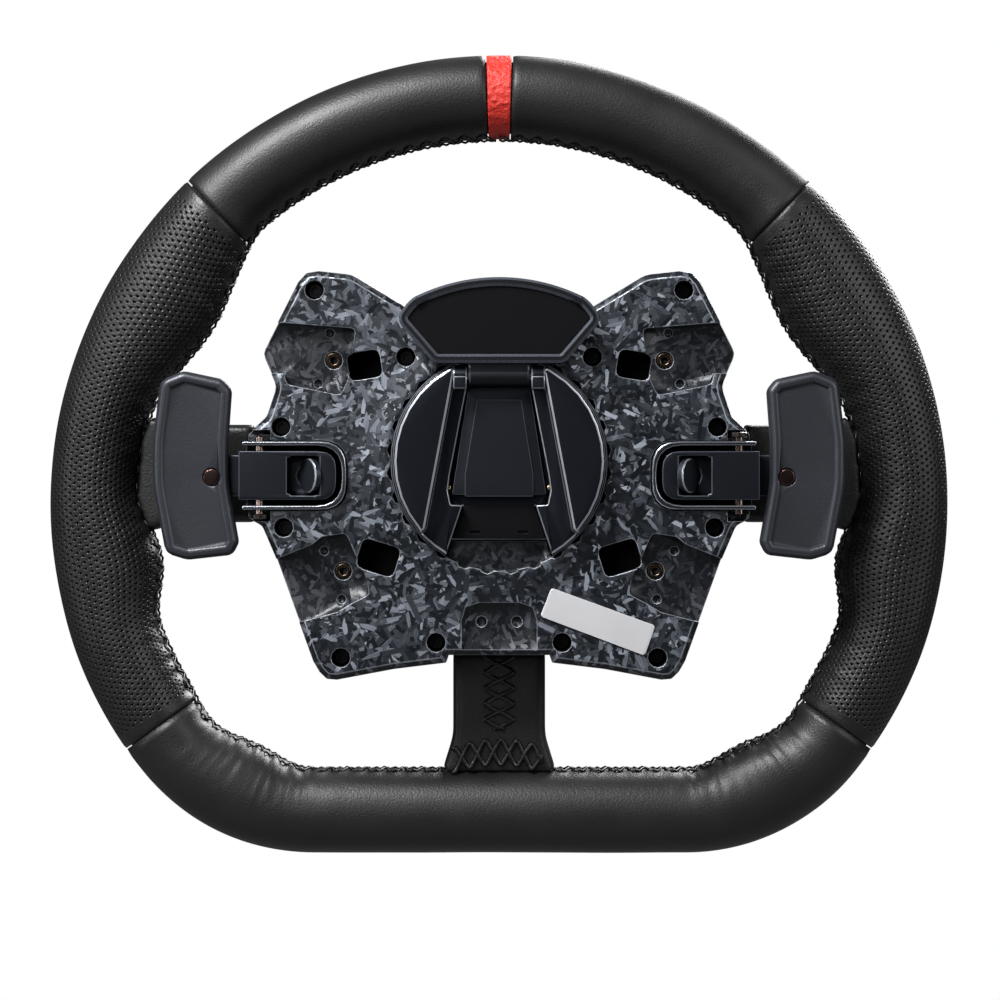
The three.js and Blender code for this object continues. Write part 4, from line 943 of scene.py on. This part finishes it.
bmesh.ops.create_cone(lever_bm, cap_ends=True, segments=40, radius1=barrel_radius, radius2=barrel_radius,
                      depth=2 * barrel_half, matrix=turned)
chamfered("quick_release_lever", lever_bm, lever_black, "lever", 0.0009, 28, ("release_lever",))
inlay_bm = bmesh.new()
thicken(inlay_bm, lever_outline(inlay_bm, inlay_low.y, bezel + inlay_gap), inlay_high.y - inlay_low.y)
inlay_black = finish_material("inlay_black", (0.0018, 0.0018, 0.0026), (0.006, 0.006, 0.007), 0.55, 0.0, 3000, 0.1,
                              specular=0.10)
chamfered("lever_inlay", inlay_bm, inlay_black, "lever", 0.00012, 28, ("lever_panel",))
pin_steel = finish_material("pin_steel", (0.20, 0.20, 0.21), (0.5, 0.5, 0.52), 0.30, 1.0)
machined("lever_hinge_pin", "lever_pin", pin_steel, chamfer=0.0002)
plate_black = finish_material("plate_black", (0.010, 0.012, 0.018), (0.15, 0.16, 0.19), 0.44, 0.6, 2600, 0.12,
                              specular=0.35)
machined("wedge_clamp", "clamp_plate", plate_black, "clamp", 0.00018)
machined("contact_cover", "contact_block", inlay_black, chamfer=0.0001)
bright_brass = finish_material("bright_brass", (0.50, 0.33, 0.17), (0.8, 0.62, 0.4), 0.25, 1.0)
for label in ("left", "right"):
    machined(f"stop_pin_{label}", f"plunger_{label}", bright_brass, chamfer=0.0002)


# ---- Shift paddles ----
# A pressed steel tray and a pressed arm on a vertical pin, held by a pair of magnets. The cast blade is screwed to
# the arm and anodised blue-grey.

tray_metal = finish_material("tray_metal", (0.035, 0.040, 0.048), (0.50, 0.53, 0.58), 0.36, 0.85, 1800, 0.12)
arm_metal = finish_material("arm_metal", (0.011, 0.013, 0.018), (0.20, 0.22, 0.26), 0.44, 0.7, 1800, 0.12,
                            edge_amount=0.5, specular=0.35)
blade_metal = finish_material("blade_metal", (0.024, 0.026, 0.033), (0.046, 0.051, 0.062), 0.48, 0.45, 1300,
                              bump=0.35)
hinge_steel = finish_material("hinge_steel", (0.055, 0.048, 0.046), (0.32, 0.24, 0.21), 0.34, 1.0)
# Painted shade: the blade screw's head is almost black, as the shade in its hole, with copper only on its chamfers.
copper_screw_painted_shade = finish_material("copper_screw_painted_shade", (0.020, 0.012, 0.011), (0.11, 0.060, 0.052), 0.40, 0.9)
magnet_black = finish_material("magnet_black", (0.026, 0.030, 0.038), (0.42, 0.46, 0.52), 0.36, 0.6)
for label in ("left", "right"):
    paddle = f"paddle_{label}"
    machined(f"paddle_tray_{label}", f"paddle_bracket_{label}", tray_metal, chamfer=0.00035)
    machined(f"paddle_lever_{label}", f"paddle_arm_{label}", arm_metal, paddle, 0.00028)
    machined(f"shift_blade_{label}", f"paddle_blade_{label}", blade_metal, paddle, 0.00045, 20)
    machined(f"blade_fixing_{label}", f"blade_screw_{label}", copper_screw_painted_shade, paddle, 0.0003)
    machined(f"hinge_pin_{label}", f"pivot_pin_{label}", hinge_steel, chamfer=0.0003)
    machined(f"moving_magnet_{label}", f"arm_magnet_{label}", magnet_black, paddle, 0.00045)
    machined(f"held_magnet_{label}", f"fixed_magnet_{label}", magnet_black, chamfer=0.0003)


# ---- Controls ----
# Ten moulded push buttons and three fluted rotary knobs on the driver's side. Each knob has a white pointer line
# moulded into its face.

button_black = finish_material("button_black", (0.026, 0.026, 0.029), (0.10, 0.10, 0.11), 0.40, 0.0, 2000, 0.25)
for number in range(1, 11):
    machined(f"push_button_{number}", f"button_{number}", button_black, f"button_{number}", 0.00025)
pointer_white = finish_material("pointer_white", (0.55, 0.55, 0.56), (0.6, 0.6, 0.6), 0.5, 0.0)
pointer_width, pointer_round, pointer_proud = 0.0008, 0.00038, 0.00008
for label in ("left", "right", "middle"):
    machined(f"rotary_{label}", f"knob_{label}", button_black, f"knob_{label}", 0.0003)
    knob_low, knob_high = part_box(f"knob_{label}")
    knob_radius = (knob_high.z - knob_low.z) / 2
    pointer_bm = bmesh.new()
    bar = bmesh.ops.create_cube(pointer_bm, size=1.0)["verts"]
    bmesh.ops.scale(pointer_bm, verts=bar, vec=(pointer_width, pointer_proud * 2, knob_radius * 0.45))
    upright = [edge for edge in pointer_bm.edges if edge.verts[0].co.y * edge.verts[1].co.y < 0]
    bmesh.ops.bevel(pointer_bm, geom=upright, offset=pointer_round, offset_type="OFFSET", segments=4, profile=0.5,
                    affect="EDGES", material=-1)
    knob_middle = (knob_low + knob_high) / 2
    pointer_place = (knob_middle.x, knob_high.y, knob_middle.z + knob_radius * 0.55)
    bmesh.ops.translate(pointer_bm, verts=pointer_bm.verts, vec=pointer_place)
    pointer = new_piece(f"pointer_{label}", pointer_bm, pointer_white, f"knob_{label}")
    pointer.data.set_sharp_from_angle(angle=math.radians(40))
